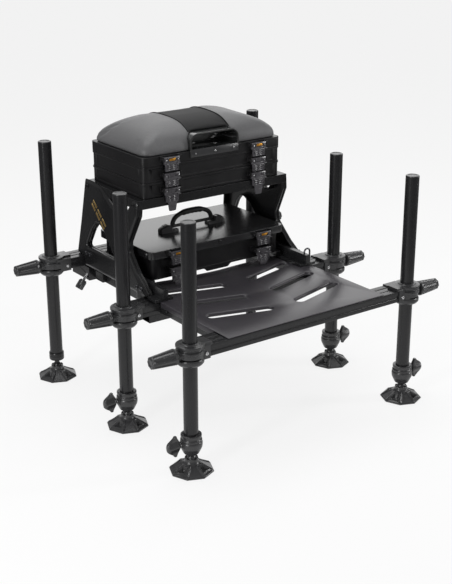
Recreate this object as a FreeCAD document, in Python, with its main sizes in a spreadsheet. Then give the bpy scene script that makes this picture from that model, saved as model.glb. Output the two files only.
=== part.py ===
import FreeCAD, Part
import math
import os
import re
import Sketcher

# Fishing seat box on six telescopic legs, built from its separate pieces.
# Millimetres. X to the viewer's right, Y to the rear, Z up.
# The origin is on the ground, at the middle of the outer box.

SIZES = {
    # Legs: a round tube in each clamp, a thinner one inside it
    "leg_od": 36,
    "leg_bore": 32,
    "leg_x": 351,
    "front_leg_y": -345,
    "middle_leg_y": -45,
    "rear_leg_y": 345,
    "leg_top": 634,
    "rear_leg_top": 692,
    "slide_fit": 0.05,
    "gap": 0.3,
    "plug_cap": 3,
    "plug_depth": 15,
    "inner_wall": 2,
    "inner_top": 350,
    # Collar that holds the inner leg, and its winged screw
    "collar_bottom": 48,
    "collar_seat": 10,
    "collar_ring_dia": 52,
    "collar_belly_dia": 56,
    "collar_neck_dia": 48,
    "collar_foot_dia": 37,
    "collar_taper": 15,
    "collar_belly": 16,
    "collar_shoulder": 7,
    "collar_waist": 5,
    "collar_ring": 5,
    "collar_shoulder_dia": 50,
    "collar_ring_edge": 2,
    "boss_root": 20,
    "boss_gap": 3,
    "inner_seat": 2,
    "inner_floor": 9,
    "ferrule_dia": 42,
    "ferrule_bottom": 54,
    "ferrule_floor": 5,
    "ferrule_depth": 17,
    "stud_dia": 8,
    "wing_height": 78,
    "wing_near": 34,
    "wing_far": 69,
    "wing_span": 53,
    "wing_thick": 13,
    "wing_slant": 9,
    "wing_hub_dia": 22.1,
    "wing_hub_inset": 3,
    "stud_bite": 1,
    # Ball-jointed feet
    "ball_dia": 24,
    "ball_height": 33,
    "neck_dia": 14,
    "foot_radius": 56,
    "foot_rim": 4,
    "foot_crown_radius": 22,
    "foot_crown": 22,
    "hub_dia": 34,
    "hub_lip": 4,
    "foot_pocket_floor": 7,
    "foot_pocket_near": 26,
    "foot_pocket_far": 44,
    "foot_pocket_near_half": 5,
    "foot_pocket_far_half": 12,
    # Clamps on the ends of the bars, heights from the bar's centre
    "clamp_up": 27,
    "clamp_down": 28,
    "clamp_ring_dia": 70,
    "clamp_neck_dia": 61,
    "clamp_foot_dia": 58,
    "clamp_lip_dia": 48,
    "clamp_band_dia": 68,
    "clamp_waist_dia": 64,
    "clamp_band_low": -22,
    "clamp_band_high": -14,
    "clamp_waist_low": -12,
    "clamp_waist_high": 1,
    "clamp_ring_low": 3,
    "clamp_ring_high": 9,
    "clamp_neck_low": 11,
    "clamp_neck_high": 15,
    "clamp_collar_low": 17,
    "clamp_flare": 2,
    "clamp_lip": 2,
    "clamp_web": 6,
    "clamp_web_half": 20,
    "clamp_slot_end": 12,
    "clamp_reach": 45,
    "clamp_wall": 3,
    "clamp_slot": 3,
    "clamp_slot_level": -10,
    "clamp_boss_dia": 26,
    "knob_near": 41,
    "knob_far": 111,
    "knob_big_dia": 41,
    "knob_small_dia": 31,
    "knob_flute_dia": 8,
    "knob_chamfer": 2,
    "knob_shoulder": 4,
    "knob_end": 3,
    "knob_flute_tilt": 94,
    # Grooved extrusions of the chassis
    "bar_depth": 60,
    "bar_height": 30,
    "bar_wall": 3.5,
    "groove": 8,
    "groove_depth": 1.5,
    "front_bar_front": -363,
    "rear_bar_front": 315,
    "middle_arm_front": -60,
    "bar_bottom": 297,
    "low_bar_height": 20,
    "low_bar_depth": 40,
    "low_bar_half": 284,
    "low_bar_wall": 2.5,
    "rail_inner": 215,
    "rail_width": 30,
    "rail_front": -40,
    "arm_step": 9,
    "arm_width": 24,
    "arm_hole_dia": 7,
    "arm_hole_back": 25,
    # Footplate with six angled slots
    "plate_thick": 3,
    "plate_over": 7,
    "plate_notch_y": -26,
    "plate_rear_side": 62,
    "plate_rear_mid": 43,
    "plate_rear_quarter": 48,
    "rear_lip_half": 204,
    "rear_lip_thick": 4,
    "rear_lip_height": 6,
    "hem_drop": 12,
    "hem_thick": 3,
    "slot_inner_x": 52,
    "slot_outer_x": 198,
    "slot_rise": 40,
    "slot_first_y": -259,
    "slot_pitch": 104,
    "slot_half": 13,
    "slot_lip": 2,
    "slot_lip_drop": 8,
    # Runners that carry the lower box
    "runner_over": 2,
    "runner_base": 8,
    "runner_front": -64,
    "runner_rear": 345,
    "runner_wall": 15,
    "runner_wall_height": 25,
    "runner_wall_front": -68,
    "pad_over": 23,
    "hook_wire_dia": 5,
    "hook_bend_radius": 9.5,
    "hook_rise": 33,
    "hook_tip_drop": 7,
    # Pressed side frames, profile as Y and Z
    "side_thick": 4,
    "side_flange": 16,
    "side_lean": 4.1,
    "side_pivot": 355,
    "side_foot_front": -21,
    "side_foot_rear": 35,
    "side_foot_bottom": 311,
    "side_chord_bottom": 330,
    "side_heel_y": 355,
    "side_back_lean": 18,
    "side_back_knee_z": 460,
    "side_back_y": 320,
    "side_crown": 578,
    "side_crown_length": 45,
    "side_shoulder": 41,
    "side_shoulder_drop": 5,
    "side_slope": 29,
    "side_slope_drop": 18,
    "side_valley": 20,
    "side_valley_rear_z": 515,
    "side_valley_front": 112,
    "side_valley_rise": 4,
    "side_arm_width": 23,
    "side_arm_top": 571,
    "side_arm_lean": 3,
    "side_arm_nose": 1,
    "side_arm_chamfer": 8,
    "side_arm_front": 45,
    "side_arm_edge": 41,
    "side_knee_y": 85,
    "side_knee_z": 440,
    "side_knee_half": 13,
    "side_knee_lean": 2,
    "side_toe": 57,
    "side_toe_rise": 69,
    "side_tip": 2,
    "side_tip_rise": 27,
    "arch_front": 150,
    "arch_front_rise": 10,
    "arch_length": 161,
    "arch_foot": 385,
    "arch_side": -31,
    "arch_side_rise": 58,
    "arch_height": 85,
    "arch_peak_width": 20,
    "arch_peak_reach": 85,
    "arch_shoulder_reach": 54,
    "arch_shoulder_rise": 68,
    "side_spacer_dia": 16,
    "side_spacer_in": 30,
    "side_spacer_rise": 22,
    # Seat frame and the two trays and lid on it
    "seat_frame_front": 44,
    "seat_frame_rear": 320,
    "seat_frame_bottom": 548,
    "seat_frame_height": 25,
    "seat_frame_wall": 4,
    "seat_frame_ledge": 25,
    "box_inset": 21,
    "box_setback": 5.5,
    "box_rear_inset": 2,
    "tray_height": 42,
    "tray_foot": 1.1,
    "lid_height": 25.8,
    "tray_wall": 3,
    "tray_floor": 3,
    "tray_corner": 16,
    "tray_rim": 1.5,
    "tray_rim_height": 6,
    "panel_depth": 1.5,
    "panel_gap": 1,
    "post_width": 26,
    # Cushion
    "cushion_height": 68,
    "cushion_inset": 2,
    "cushion_corner": 26,
    "cushion_tuck": 2,
    "cushion_edge": 6,
    "cushion_crown_x": 150,
    "cushion_crown_y": 105,
    "recess_half": 78,
    "recess_depth": 58,
    "recess_height": 44,
    "recess_corner": 24,
    "liner_wall": 3,
    "liner_strip_height": 18,
    # Latches
    "latch_x": 142,
    "latch_half": 24,
    "latch_out": 8,
    "latch_above_seam": 17.5,
    "latch_clear": 7.5,
    "latch_back": 2,
    "latch_front": 5,
    "latch_pin_dia": 3,
    "latch_ear": 5,
    "latch_ear_half": 6,
    "latch_tab_half": 14,
    "latch_tab": 24,
    "latch_tab_root": 6.7,
    "latch_rib": 1.5,
    "latch_tongue": 10,
    "latch_tongue_lap": 3.4,
    "latch_tongue_inset": 4,
    "latch_badge_half": 12,
    "latch_badge_rise": 3,
    "latch_rib_inset": 7,
    "latch_first_rib": 10,
    "latch_second_rib": 15,
    # Rear hinges
    "hinge_x": 150,
    "hinge_out": 6.5,
    "hinge_radius": 4,
    "hinge_pin_dia": 4,
    "hinge_half": 30,
    "hinge_middle_half": 14.7,
    # Lower box
    "case_clearance": 7.4,
    "case_front": 24,
    "case_rear": 297,
    "case_strip_height": 13.1,
    "case_tray_height": 59.9,
    "case_lid_height": 21.5,
    "case_inset": 10.6,
    "case_latch_x": 143,
    "case_latch_above_seam": 13,
    "case_latch_rise": 26.6,
    "case_strip_width": 17.6,
    "case_tab": 11,
    "case_plug_dia": 12,
    "case_plug_out": 2,
    "case_plug_in": 1,
    "case_plug_back": 26,
    "case_eye_drop": 9,
    "case_eye_gap": 1,
    # Carrying handle of the lower box
    "handle_y": 160,
    "handle_lift": 13.2,
    "handle_rise": 34.5,
    "handle_grip_half": 24,
    "handle_shoulder": 54,
    "handle_foot": 66,
    "handle_dia": 13,
    "handle_grip_dia": 17,
    "handle_shoulder_z": 24.5,
    "handle_pin_dia": 9,
    "handle_pin_over": 8,
    "bracket_half": 28,
    "bracket_x": 80,
    "bracket_depth": 28,
    "bracket_pad": 6,
    "bracket_gap": 2,
    "bracket_step": 4,
    # Tilted screw under the left rear corner
    "screw_out": 19,
    "screw_y": 306,
    "screw_top": 300,
    "screw_tilt": 38,
    "screw_grip": 27,
    "screw_stud": 16,
    "screw_sink": 10,
    "screw_hub_dia": 18.2,
    "screw_hub_root": 2,
    "screw_hub_length": 16.2,
    "block_over": 17,
    "block_front": 292,
    "block_rear": 390,
    "block_drop": 9,
    "stop_front": 222,
    "stop_rear": 260,
    "stop_height": 26,
    "stop_over": 13,
    # Screws
    "bolt_dia": 9,
    "bolt_head": 3,
    "bolt_in": 12,
    "bolt_drop": 3,
    "frame_bolt_dia": 12.6,
    "foot_bolt_in": 29,
    "foot_bolt_back": 6,
    "foot_bolt_rise": 37,
    "heel_bolt_pitch": 19,
    "heel_bolt_in": 55,
    "heel_bolt_rise": 12,
    "seat_bolt_in": 17,
    "seat_bolt_back": 20,
    "seat_bolt_rise": 12,
    "liner_front": 5,
    "liner_screw_dia": 4.5,
    "liner_screw_out": 1,
}

# Sizes that follow from others
FOLLOWS = {
    "rail_outer": "rail_inner + rail_width",
    "collar_ledge": "collar_bottom + collar_seat",
    "collar_top": "collar_ring_high + collar_ring_edge",
    "collar_belly_low": "collar_bottom + collar_taper",
    "collar_belly_high": "collar_belly_low + collar_belly",
    "collar_waist_low": "collar_belly_high + collar_shoulder",
    "collar_waist_high": "collar_waist_low + collar_waist",
    "collar_ring_low": "collar_waist_high + collar_ring_edge",
    "collar_ring_high": "collar_ring_low + collar_ring",
    "ferrule_ledge": "ferrule_bottom + ferrule_floor",
    "ferrule_top": "ferrule_ledge + ferrule_depth",
    "inner_bottom": "collar_bottom + inner_seat",
    "wing_flat": "wing_near + 2 * wing_slant",
    "wing_hub_far": "wing_far - wing_hub_inset",
    "hub_top": "ball_height + hub_lip",
    "clamp_half_block": "bar_height / 2 + clamp_wall",
    "clamp_lip_low": "clamp_up - clamp_lip",
    "clamp_collar_high": "clamp_lip_low - clamp_flare",
    "clamp_web_reach": "clamp_reach + clamp_web",
    "arm_inner": "rail_inner + arm_step",
    "arm_hole_y": "runner_front - arm_hole_back",
    "plate_half": "rail_outer + plate_over",
    "runner_inner": "rail_inner - runner_over",
    "runner_pad_outer": "rail_outer + pad_over",
    "side_back_knee_y": "side_heel_y - side_back_lean",
    "side_crown_front": "side_back_y - side_crown_length",
    "side_shoulder_y": "side_crown_front - side_shoulder",
    "side_shoulder_z": "side_crown - side_shoulder_drop",
    "side_slope_y": "side_shoulder_y - side_slope",
    "side_slope_z": "side_shoulder_z - side_slope_drop",
    "side_valley_rear": "side_valley_front + side_valley",
    "side_valley_front_z": "side_valley_rear_z + side_valley_rise",
    "side_arm_rear": "side_arm_crest + side_arm_width",
    "side_arm_crest": "side_arm_front + side_arm_lean",
    "side_arm_nose_y": "side_arm_front - side_arm_nose",
    "side_arm_nose_z": "side_arm_top - side_arm_chamfer",
    "side_arm_low": "side_arm_top - side_arm_edge",
    "side_knee_top": "side_knee_z + side_knee_half",
    "side_knee_low_y": "side_knee_y - side_knee_lean",
    "side_knee_low": "side_knee_z - side_knee_half",
    "side_toe_y": "side_foot_front + side_toe",
    "side_toe_z": "side_foot_bottom + side_toe_rise",
    "side_tip_y": "side_foot_front - side_tip",
    "side_tip_z": "side_foot_bottom + side_tip_rise",
    "arch_front_top": "arch_foot + arch_front_rise",
    "arch_rear": "arch_front + arch_length",
    "arch_side_y": "arch_rear + arch_side",
    "arch_side_z": "arch_foot + arch_side_rise",
    "arch_peak": "arch_foot + arch_height",
    "arch_peak_rear": "arch_peak_front + arch_peak_width",
    "arch_peak_front": "arch_front + arch_peak_reach",
    "arch_shoulder_y": "arch_front + arch_shoulder_reach",
    "arch_shoulder_z": "arch_foot + arch_shoulder_rise",
    "side_spacer_y": "side_foot_front + side_spacer_in",
    "side_spacer_z": "side_foot_bottom + side_spacer_rise",
    "seat_frame_top": "seat_frame_bottom + seat_frame_height",
    "box_half": "rail_outer - box_inset",
    "box_front": "seat_frame_front + box_setback",
    "box_rear": "seat_frame_rear - box_rear_inset",
    "lower_seam": "seat_frame_top + gap + tray_height - tray_foot",
    "upper_seam": "lower_seam + tray_height",
    "lid_top": "upper_seam + lid_height",
    "recess_top": "lid_top + recess_height",
    "latch_length": "tray_height - tray_foot - latch_clear",
    "latch_tab_top": "latch_length - latch_tab_root",
    "latch_plate_length": "latch_length - latch_tongue",
    "latch_tongue_top": "latch_plate_length - latch_tongue_lap",
    "case_half": "rail_outer - runner_wall - case_clearance",
    "case_bottom": "bar_bottom + bar_height + plate_thick + runner_base + gap + case_strip_height",
    "case_seam": "case_bottom + case_tray_height",
    "case_top": "case_seam + case_lid_height",
    "case_latch_low": "case_bottom + case_latch_rise",
    "case_runner_inner": "case_half - case_strip_width",
    "case_plug_y": "case_front + case_plug_back",
    "handle_pivot": "case_top + handle_lift",
    "handle_grip": "handle_pivot + handle_rise",
    "handle_pin_end": "bracket_x + handle_pin_over",
    "screw_x": "-(rail_outer + screw_out)",
    "screw_hub_low": "screw_stud - screw_hub_root",
    "screw_hub_high": "screw_stud + screw_hub_length",
    "block_outer": "rail_outer + block_over",
    "stop_outer": "rail_outer + stop_over",
    "bolt_x": "leg_x - clamp_reach + bolt_in",
    "foot_bolt_front": "side_foot_front + foot_bolt_in",
    "foot_bolt_rear": "side_foot_rear - foot_bolt_back",
    "foot_bolt_z": "side_foot_bottom + foot_bolt_rise",
    "heel_bolt_front": "heel_bolt_rear - heel_bolt_pitch",
    "heel_bolt_rear": "side_heel_y - heel_bolt_in",
    "heel_bolt_z": "bar_bottom + 2 * bar_height + heel_bolt_rise",
    "seat_bolt_front": "side_arm_front + seat_bolt_in",
    "seat_bolt_rear": "side_back_y - seat_bolt_back",
    "seat_bolt_z": "seat_frame_bottom + seat_bolt_rise",
}

doc = FreeCAD.newDocument("SeatBox")
sheet = doc.addObject("Spreadsheet::Sheet", "Sizes")
for row, (alias, value) in enumerate(SIZES.items(), 1):
    sheet.set("A%d" % row, alias)
    sheet.set("B%d" % row, str(value))
    sheet.setAlias("B%d" % row, alias)
doc.recompute()

nodes = []


def whole_words(names):
    return re.compile(r"\b(" + "|".join(sorted(names, key=len, reverse=True)) + r")\b")


ALIAS = whole_words(SIZES)
FOLLOWER = whole_words(FOLLOWS)


def spelled(text):
    """An expression with each size written as its cell in the sheet."""
    text = str(text)
    while FOLLOWER.search(text):
        text = FOLLOWER.sub(lambda found: "(" + FOLLOWS[found.group(1)] + ")", text)
    return ALIAS.sub(r"Sizes.\1", text)


def tie(thing, prop, text):
    """Bind a property to an expression of the sheet's sizes."""
    thing.setExpression(prop, spelled(text))


def size(text):
    """The value of a size, for shapes that are worked out in code."""
    return float(sheet.evalExpression(spelled(text)))


def put(thing, x="0", y="0", z="0"):
    tie(thing, "Placement.Base.x", x)
    tie(thing, "Placement.Base.y", y)
    tie(thing, "Placement.Base.z", z)
    return thing


def box(x0, x1, y0, y1, z0, z1):
    """A block between two corners."""
    block = doc.addObject("Part::Box", "Block")
    tie(block, "Length", "(%s) - (%s)" % (x1, x0))
    tie(block, "Width", "(%s) - (%s)" % (y1, y0))
    tie(block, "Height", "(%s) - (%s)" % (z1, z0))
    return put(block, x0, y0, z0)


TURN = {
    "x": FreeCAD.Rotation(FreeCAD.Vector(0, 1, 0), 90),
    "y": FreeCAD.Rotation(FreeCAD.Vector(1, 0, 0), -90),
    "z": FreeCAD.Rotation(),
}


def rod(axis, radius, start, end, x="0", y="0", z="0"):
    """A round bar along X, Y or Z, through the point given by the other two coordinates."""
    bar = doc.addObject("Part::Cylinder", "Rod")
    tie(bar, "Radius", radius)
    tie(bar, "Height", "(%s) - (%s)" % (end, start))
    bar.Placement = FreeCAD.Placement(FreeCAD.Vector(), TURN[axis])
    at = {"x": x, "y": y, "z": z}
    at[axis] = start
    return put(bar, **at)


def ball(radius, x="0", y="0", z="0"):
    sphere = doc.addObject("Part::Sphere", "Ball")
    tie(sphere, "Radius", radius)
    return put(sphere, x, y, z)


def fuse(*things):
    joined = doc.addObject("Part::MultiFuse", "Joined")
    joined.Shapes = list(things)
    joined.Refine = True
    return joined


def cut(base, *tools):
    left = doc.addObject("Part::Cut", "Cut")
    left.Base = base
    left.Tool = tools[0] if len(tools) == 1 else fuse(*tools)
    return left


def group(*things):
    """Separate solids kept together, or one shape at a new place."""
    pack = doc.addObject("Part::Compound", "Group")
    pack.Links = list(things)
    return pack


def moved(thing, x="0", y="0", z="0", axis=(0, 0, 1), angle=0):
    """The same shape at another place, turned about an axis."""
    copy = group(thing)
    copy.Placement = FreeCAD.Placement(FreeCAD.Vector(), FreeCAD.Rotation(FreeCAD.Vector(*axis), 0))
    if angle:
        copy.Placement = FreeCAD.Placement(FreeCAD.Vector(), FreeCAD.Rotation(FreeCAD.Vector(*axis), 30))
        tie(copy, "Placement.Rotation.Angle", angle)
    return put(copy, x, y, z)


def mirrored(thing):
    """The same piece on the other side of the object."""
    twin = doc.addObject("Part::Mirroring", "Mirror")
    twin.Source = thing
    twin.Normal = FreeCAD.Vector(1, 0, 0)
    twin.Base = FreeCAD.Vector(0, 0, 0)
    return twin


def node(label, thing):
    """Name a finished sub-part."""
    thing.Label = label
    nodes.append(thing)
    return thing


def plane(body, role):
    return [feature for feature in body.Origin.OriginFeatures if feature.Role == role][0]


# A sketch's corners start on a circle, and its constraints pull them into place
FIRST_GUESS = 100


def outline(body, role, loops):
    """A sketch of closed loops of straight edges, each corner a pair of expressions."""
    sketch = body.newObject("Sketcher::SketchObject", "Outline")
    sketch.AttachmentSupport = [(plane(body, role), "")]
    sketch.MapMode = "FlatFace"
    for loop in loops:
        first = sketch.GeometryCount
        count = len(loop)
        guess = []
        for k in range(count):
            turn = 2 * math.pi * k / count
            guess.append(FreeCAD.Vector(FIRST_GUESS * math.cos(turn), FIRST_GUESS * math.sin(turn), 0))
        for k in range(count):
            sketch.addGeometry(Part.LineSegment(guess[k], guess[(k + 1) % count]), False)
        for k in range(count):
            join = Sketcher.Constraint("Coincident", first + k, 2, first + (k + 1) % count, 1)
            sketch.addConstraint(join)
        for k, (across, up) in enumerate(loop):
            for kind, start, text in (("DistanceX", guess[k].x, across), ("DistanceY", guess[k].y, up)):
                mark = sketch.addConstraint(Sketcher.Constraint(kind, -1, 1, first + k, 1, start))
                tie(sketch, "Constraints[%d]" % mark, text)
    doc.recompute()
    return sketch


def padded(role, loops, length, middle=False, reverse=False):
    """A body with one sketch raised into a plate."""
    body = doc.addObject("PartDesign::Body", "Plate")
    sketch = outline(body, role, loops)
    pad = body.newObject("PartDesign::Pad", "Pad")
    pad.Profile = sketch
    tie(pad, "Length", length)
    pad.Midplane = middle
    pad.Reversed = reverse
    doc.recompute()
    return body


def turned(profile):
    """A body turned about the Z axis from a profile of radius and height."""
    body = doc.addObject("PartDesign::Body", "Turned")
    sketch = outline(body, "XZ_Plane", [profile])
    spin = body.newObject("PartDesign::Revolution", "Spin")
    spin.Profile = sketch
    spin.ReferenceAxis = (sketch, ["V_Axis"])
    spin.Angle = 360
    doc.recompute()
    return body


def slab(half, y0, y1, z0, z1, corner):
    """A block, centred on the object, with rounded upright corners."""
    loop = [("-(%s)" % half, y0), (half, y0), (half, y1), ("-(%s)" % half, y1)]
    body = padded("XY_Plane", [loop], "(%s) - (%s)" % (z1, z0))
    pad = body.Tip
    upright = []
    for k, edge in enumerate(pad.Shape.Edges, 1):
        ends = [vertex.Point for vertex in edge.Vertexes]
        if abs(ends[0].z - ends[1].z) > 0.01:
            upright.append("Edge%d" % k)
    fillet = body.newObject("PartDesign::Fillet", "Corners")
    fillet.Base = (pad, upright)
    tie(fillet, "Radius", corner)
    return put(body, z=z0)


# Legs

BALL_STUD_NECK = "neck_dia / 2"


def ball_stud(top):
    """Ball and neck that hold a foot."""
    neck = rod("z", BALL_STUD_NECK, "ball_height + ball_dia / 4", top)
    return fuse(neck, ball("ball_dia / 2", z="ball_height"))


def leg_tube(bottom, top):
    tube = rod("z", "leg_od / 2", bottom, "%s - plug_cap" % top)
    return cut(tube, rod("z", "leg_bore / 2", bottom, "%s - plug_cap" % top))


def end_plug(top):
    cap = rod("z", "leg_od / 2", "%s - plug_cap" % top, top)
    spigot = rod("z", "leg_bore / 2 - slide_fit", "%s - plug_cap - plug_depth" % top, "%s - plug_cap" % top)
    return fuse(cap, spigot)


screw_way = rod("x", "stud_dia / 2 + slide_fit", "0", "collar_belly_dia", z="wing_height")
outer_leg = group(cut(leg_tube("collar_ledge", "leg_top"), screw_way), end_plug("leg_top"))
ferrule = cut(
    fuse(rod("z", "ferrule_dia / 2", "ferrule_bottom", "ferrule_top"), ball_stud("ferrule_bottom")),
    rod("z", "leg_od / 2 + slide_fit", "ferrule_ledge", "ferrule_top"),
)
rear_leg = group(leg_tube("ferrule_ledge", "rear_leg_top"), end_plug("rear_leg_top"), ferrule)

collar_turned = turned([
    ("leg_bore / 2 + gap", "collar_bottom"),
    ("collar_foot_dia / 2", "collar_bottom"),
    ("collar_belly_dia / 2", "collar_belly_low"),
    ("collar_belly_dia / 2", "collar_belly_high"),
    ("collar_shoulder_dia / 2", "collar_waist_low"),
    ("collar_neck_dia / 2", "collar_waist_high"),
    ("collar_ring_dia / 2", "collar_ring_low"),
    ("collar_ring_dia / 2", "collar_ring_high"),
    ("collar_ring_dia / 2 - collar_ring_edge", "collar_top"),
    ("leg_od / 2 + slide_fit", "collar_top"),
    ("leg_od / 2 + slide_fit", "collar_ledge"),
    ("leg_bore / 2 + gap", "collar_ledge"),
])
collar_boss = cut(
    rod("x", "stud_dia", "boss_root", "wing_near - boss_gap", z="wing_height"),
    rod("z", "leg_od / 2 + stud_bite", "collar_bottom", "collar_top"),
)
collar = cut(fuse(collar_turned, collar_boss), screw_way)

INNER_RADIUS = "leg_bore / 2 - slide_fit"
inner_leg = cut(
    fuse(rod("z", INNER_RADIUS, "inner_bottom", "inner_top"), ball_stud("inner_bottom")),
    rod("z", INNER_RADIUS + " - inner_wall", "inner_bottom + inner_floor", "inner_top"),
)

wing_loop = [
    ("wing_near", "wing_height - wing_span / 5"),
    ("wing_near + wing_slant", "wing_height - wing_span / 2"),
    ("wing_flat", "wing_height - wing_span / 2"),
    ("wing_far", "wing_height - wing_span / 5"),
    ("wing_far", "wing_height + wing_span / 5"),
    ("wing_flat", "wing_height + wing_span / 2"),
    ("wing_near + wing_slant", "wing_height + wing_span / 2"),
    ("wing_near", "wing_height + wing_span / 5"),
]
wing_knob = fuse(
    padded("XZ_Plane", [wing_loop], "wing_thick", middle=True),
    rod("x", "wing_hub_dia / 2", "wing_near", "wing_hub_far", z="wing_height"),
    rod("x", "stud_dia / 2", "leg_bore / 2 + gap", "wing_near + stud_bite", z="wing_height"),
)


def eight_sided(radius, level):
    plan = doc.addObject("Part::RegularPolygon", "Octagon")
    plan.Polygon = 8
    tie(plan, "Circumradius", radius)
    return put(plan, z=level)


def loft(*sections):
    skin = doc.addObject("Part::Loft", "Loft")
    skin.Sections = list(sections)
    skin.Solid = True
    skin.Ruled = True
    return skin


def foot_shape():
    """Eight-sided foot with four windows in its slopes and a socket for the ball."""
    rim = eight_sided("foot_radius", "0")
    edge = eight_sided("foot_radius", "foot_rim")
    crown = eight_sided("foot_crown_radius", "foot_crown")
    pocket_loop = [
        ("foot_pocket_near", "-foot_pocket_near_half"),
        ("foot_pocket_far", "-foot_pocket_far_half"),
        ("foot_pocket_far", "foot_pocket_far_half"),
        ("foot_pocket_near", "foot_pocket_near_half"),
    ]
    pocket = put(padded("XY_Plane", [pocket_loop], "foot_crown"), z="foot_pocket_floor")
    pockets = []
    for k in range(4):
        pockets.append(moved(pocket, angle=22.5 + 90 * k))
    solid = fuse(loft(rim, edge, crown), rod("z", "hub_dia / 2", "foot_pocket_floor", "hub_top"))
    return cut(solid, ball("ball_dia / 2 + gap", z="ball_height"), *pockets)


foot = foot_shape()


# Clamps and their knobs

def clamp(bar_front, bar_rear):
    """Ring round a leg with a block that holds a bar's end; the bar lies on the -X side."""
    ring = turned([
        ("leg_od / 2 + slide_fit", "-clamp_down"),
        ("clamp_foot_dia / 2", "-clamp_down"),
        ("clamp_band_dia / 2", "clamp_band_low"),
        ("clamp_band_dia / 2", "clamp_band_high"),
        ("clamp_waist_dia / 2", "clamp_waist_low"),
        ("clamp_waist_dia / 2", "clamp_waist_high"),
        ("clamp_ring_dia / 2", "clamp_ring_low"),
        ("clamp_ring_dia / 2", "clamp_ring_high"),
        ("clamp_neck_dia / 2", "clamp_neck_low"),
        ("clamp_neck_dia / 2", "clamp_neck_high"),
        ("clamp_ring_dia / 2", "clamp_collar_low"),
        ("clamp_ring_dia / 2", "clamp_collar_high"),
        ("clamp_lip_dia / 2", "clamp_lip_low"),
        ("clamp_lip_dia / 2", "clamp_up"),
        ("leg_od / 2 + slide_fit", "clamp_up"),
    ])
    front = "%s - clamp_wall" % bar_front
    rear = "%s + clamp_wall" % bar_rear
    block = box("-clamp_reach", "0", front, rear, "-clamp_half_block", "clamp_half_block")
    web = box("-clamp_web_reach", "0", "-clamp_web_half", "clamp_web_half", "bar_height / 2",
              "clamp_collar_high")
    boss = rod("x", "clamp_boss_dia / 2", "boss_root", "knob_near - boss_gap")
    slot = box("-clamp_slot_end", "clamp_ring_dia", "-clamp_ring_dia", "clamp_ring_dia",
               "clamp_slot_level - clamp_slot / 2", "clamp_slot_level + clamp_slot / 2")
    bore = rod("z", "leg_od / 2 + slide_fit", "-clamp_down", "clamp_up")
    stud_way = rod("x", "stud_dia / 2 + slide_fit", "0", "knob_near")
    return cut(fuse(ring, block, web, boss), bore, slot, stud_way)


BAR_LEVEL = "bar_bottom + bar_height / 2"
REAR_LEVEL = "bar_bottom + bar_height * 1.5"
clamps = []
for leg_y, bar_front, level in (
    ("front_leg_y", "front_bar_front", BAR_LEVEL),
    ("middle_leg_y", "middle_arm_front", BAR_LEVEL),
    ("rear_leg_y", "rear_bar_front", REAR_LEVEL),
):
    shape = clamp("%s - %s" % (bar_front, leg_y), "%s + bar_depth - %s" % (bar_front, leg_y))
    clamps.append(moved(shape, "leg_x", leg_y, level))
clamps += [mirrored(shape) for shape in list(clamps)]
node("leg_clamps", group(*clamps))


def polygon_along_x(radius, x):
    plan = eight_sided(radius, "0")
    plan.Placement = FreeCAD.Placement(FreeCAD.Vector(), TURN["x"])
    return put(plan, x)


def knob_shape():
    """Tapered eight-sided grip with eight flutes, on a stud."""
    grip = loft(
        polygon_along_x("knob_big_dia / 2 - knob_chamfer", "knob_near"),
        polygon_along_x("knob_big_dia / 2", "knob_near + knob_shoulder"),
        polygon_along_x("knob_small_dia / 2", "knob_far - knob_end"),
        polygon_along_x("knob_small_dia / 2 - knob_end", "knob_far"),
    )
    flute = rod("z", "knob_flute_dia / 2", "0", "knob_far - knob_near")
    flute = moved(flute, "knob_near + knob_shoulder", "0", "knob_big_dia / 2 + knob_flute_dia / 4",
                  axis=(0, 1, 0), angle="knob_flute_tilt")
    flutes = []
    for k in range(8):
        flutes.append(moved(flute, axis=(1, 0, 0), angle=22.5 + 45 * k))
    stud = rod("x", "stud_dia / 2", "leg_od / 2 + gap", "knob_near + stud_bite")
    return fuse(cut(grip, *flutes), stud)


knob = knob_shape()

LEGS = (
    ("front_left", -1, "front_leg_y"),
    ("front_right", 1, "front_leg_y"),
    ("middle_left", -1, "middle_leg_y"),
    ("middle_right", 1, "middle_leg_y"),
    ("rear_left", -1, "rear_leg_y"),
    ("rear_right", 1, "rear_leg_y"),
)
for place, side, leg_y in LEGS:
    leg_x = "leg_x" if side > 0 else "-leg_x"
    half_turn = 0 if side > 0 else 180
    rear = place.startswith("rear")
    level = REAR_LEVEL if rear else BAR_LEVEL
    node("leg_tube_" + place, moved(rear_leg if rear else outer_leg, leg_x, leg_y, angle=half_turn))
    node("foot_" + place, moved(foot, leg_x, leg_y, angle=half_turn))
    node("clamp_knob_" + place, moved(knob, leg_x, leg_y, level, angle=half_turn))
    if not rear:
        node("leg_collar_" + place, moved(collar, leg_x, leg_y, angle=half_turn))
        node("inner_leg_" + place, moved(inner_leg, leg_x, leg_y, angle=half_turn))
        node("wing_knob_" + place, moved(wing_knob, leg_x, leg_y, angle=half_turn))


# Chassis

BAR_END = "leg_x - clamp_reach"
BAR_TOP = "bar_bottom + bar_height"


def grooved_bar(x0, x1, front, bottom):
    """Hollow extrusion along X with a groove in its front and rear faces and two on top."""
    rear = "%s + bar_depth" % front
    top = "%s + bar_height" % bottom
    middle = "%s + bar_height / 2" % bottom
    solid = box(x0, x1, front, rear, bottom, top)
    hollow = box(x0, x1, front + " + bar_wall", rear + " - bar_wall",
                 bottom + " + bar_wall", top + " - bar_wall")
    low, high = middle + " - groove / 2", middle + " + groove / 2"
    tools = [hollow]
    tools.append(box(x0, x1, front, front + " + groove_depth", low, high))
    tools.append(box(x0, x1, rear + " - groove_depth", rear, low, high))
    for share in ("bar_depth / 3", "bar_depth * 2 / 3"):
        centre = "%s + %s" % (front, share)
        tools.append(box(x0, x1, centre + " - groove / 4", centre + " + groove / 4",
                         top + " - groove_depth", top))
    return cut(solid, *tools)


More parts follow.
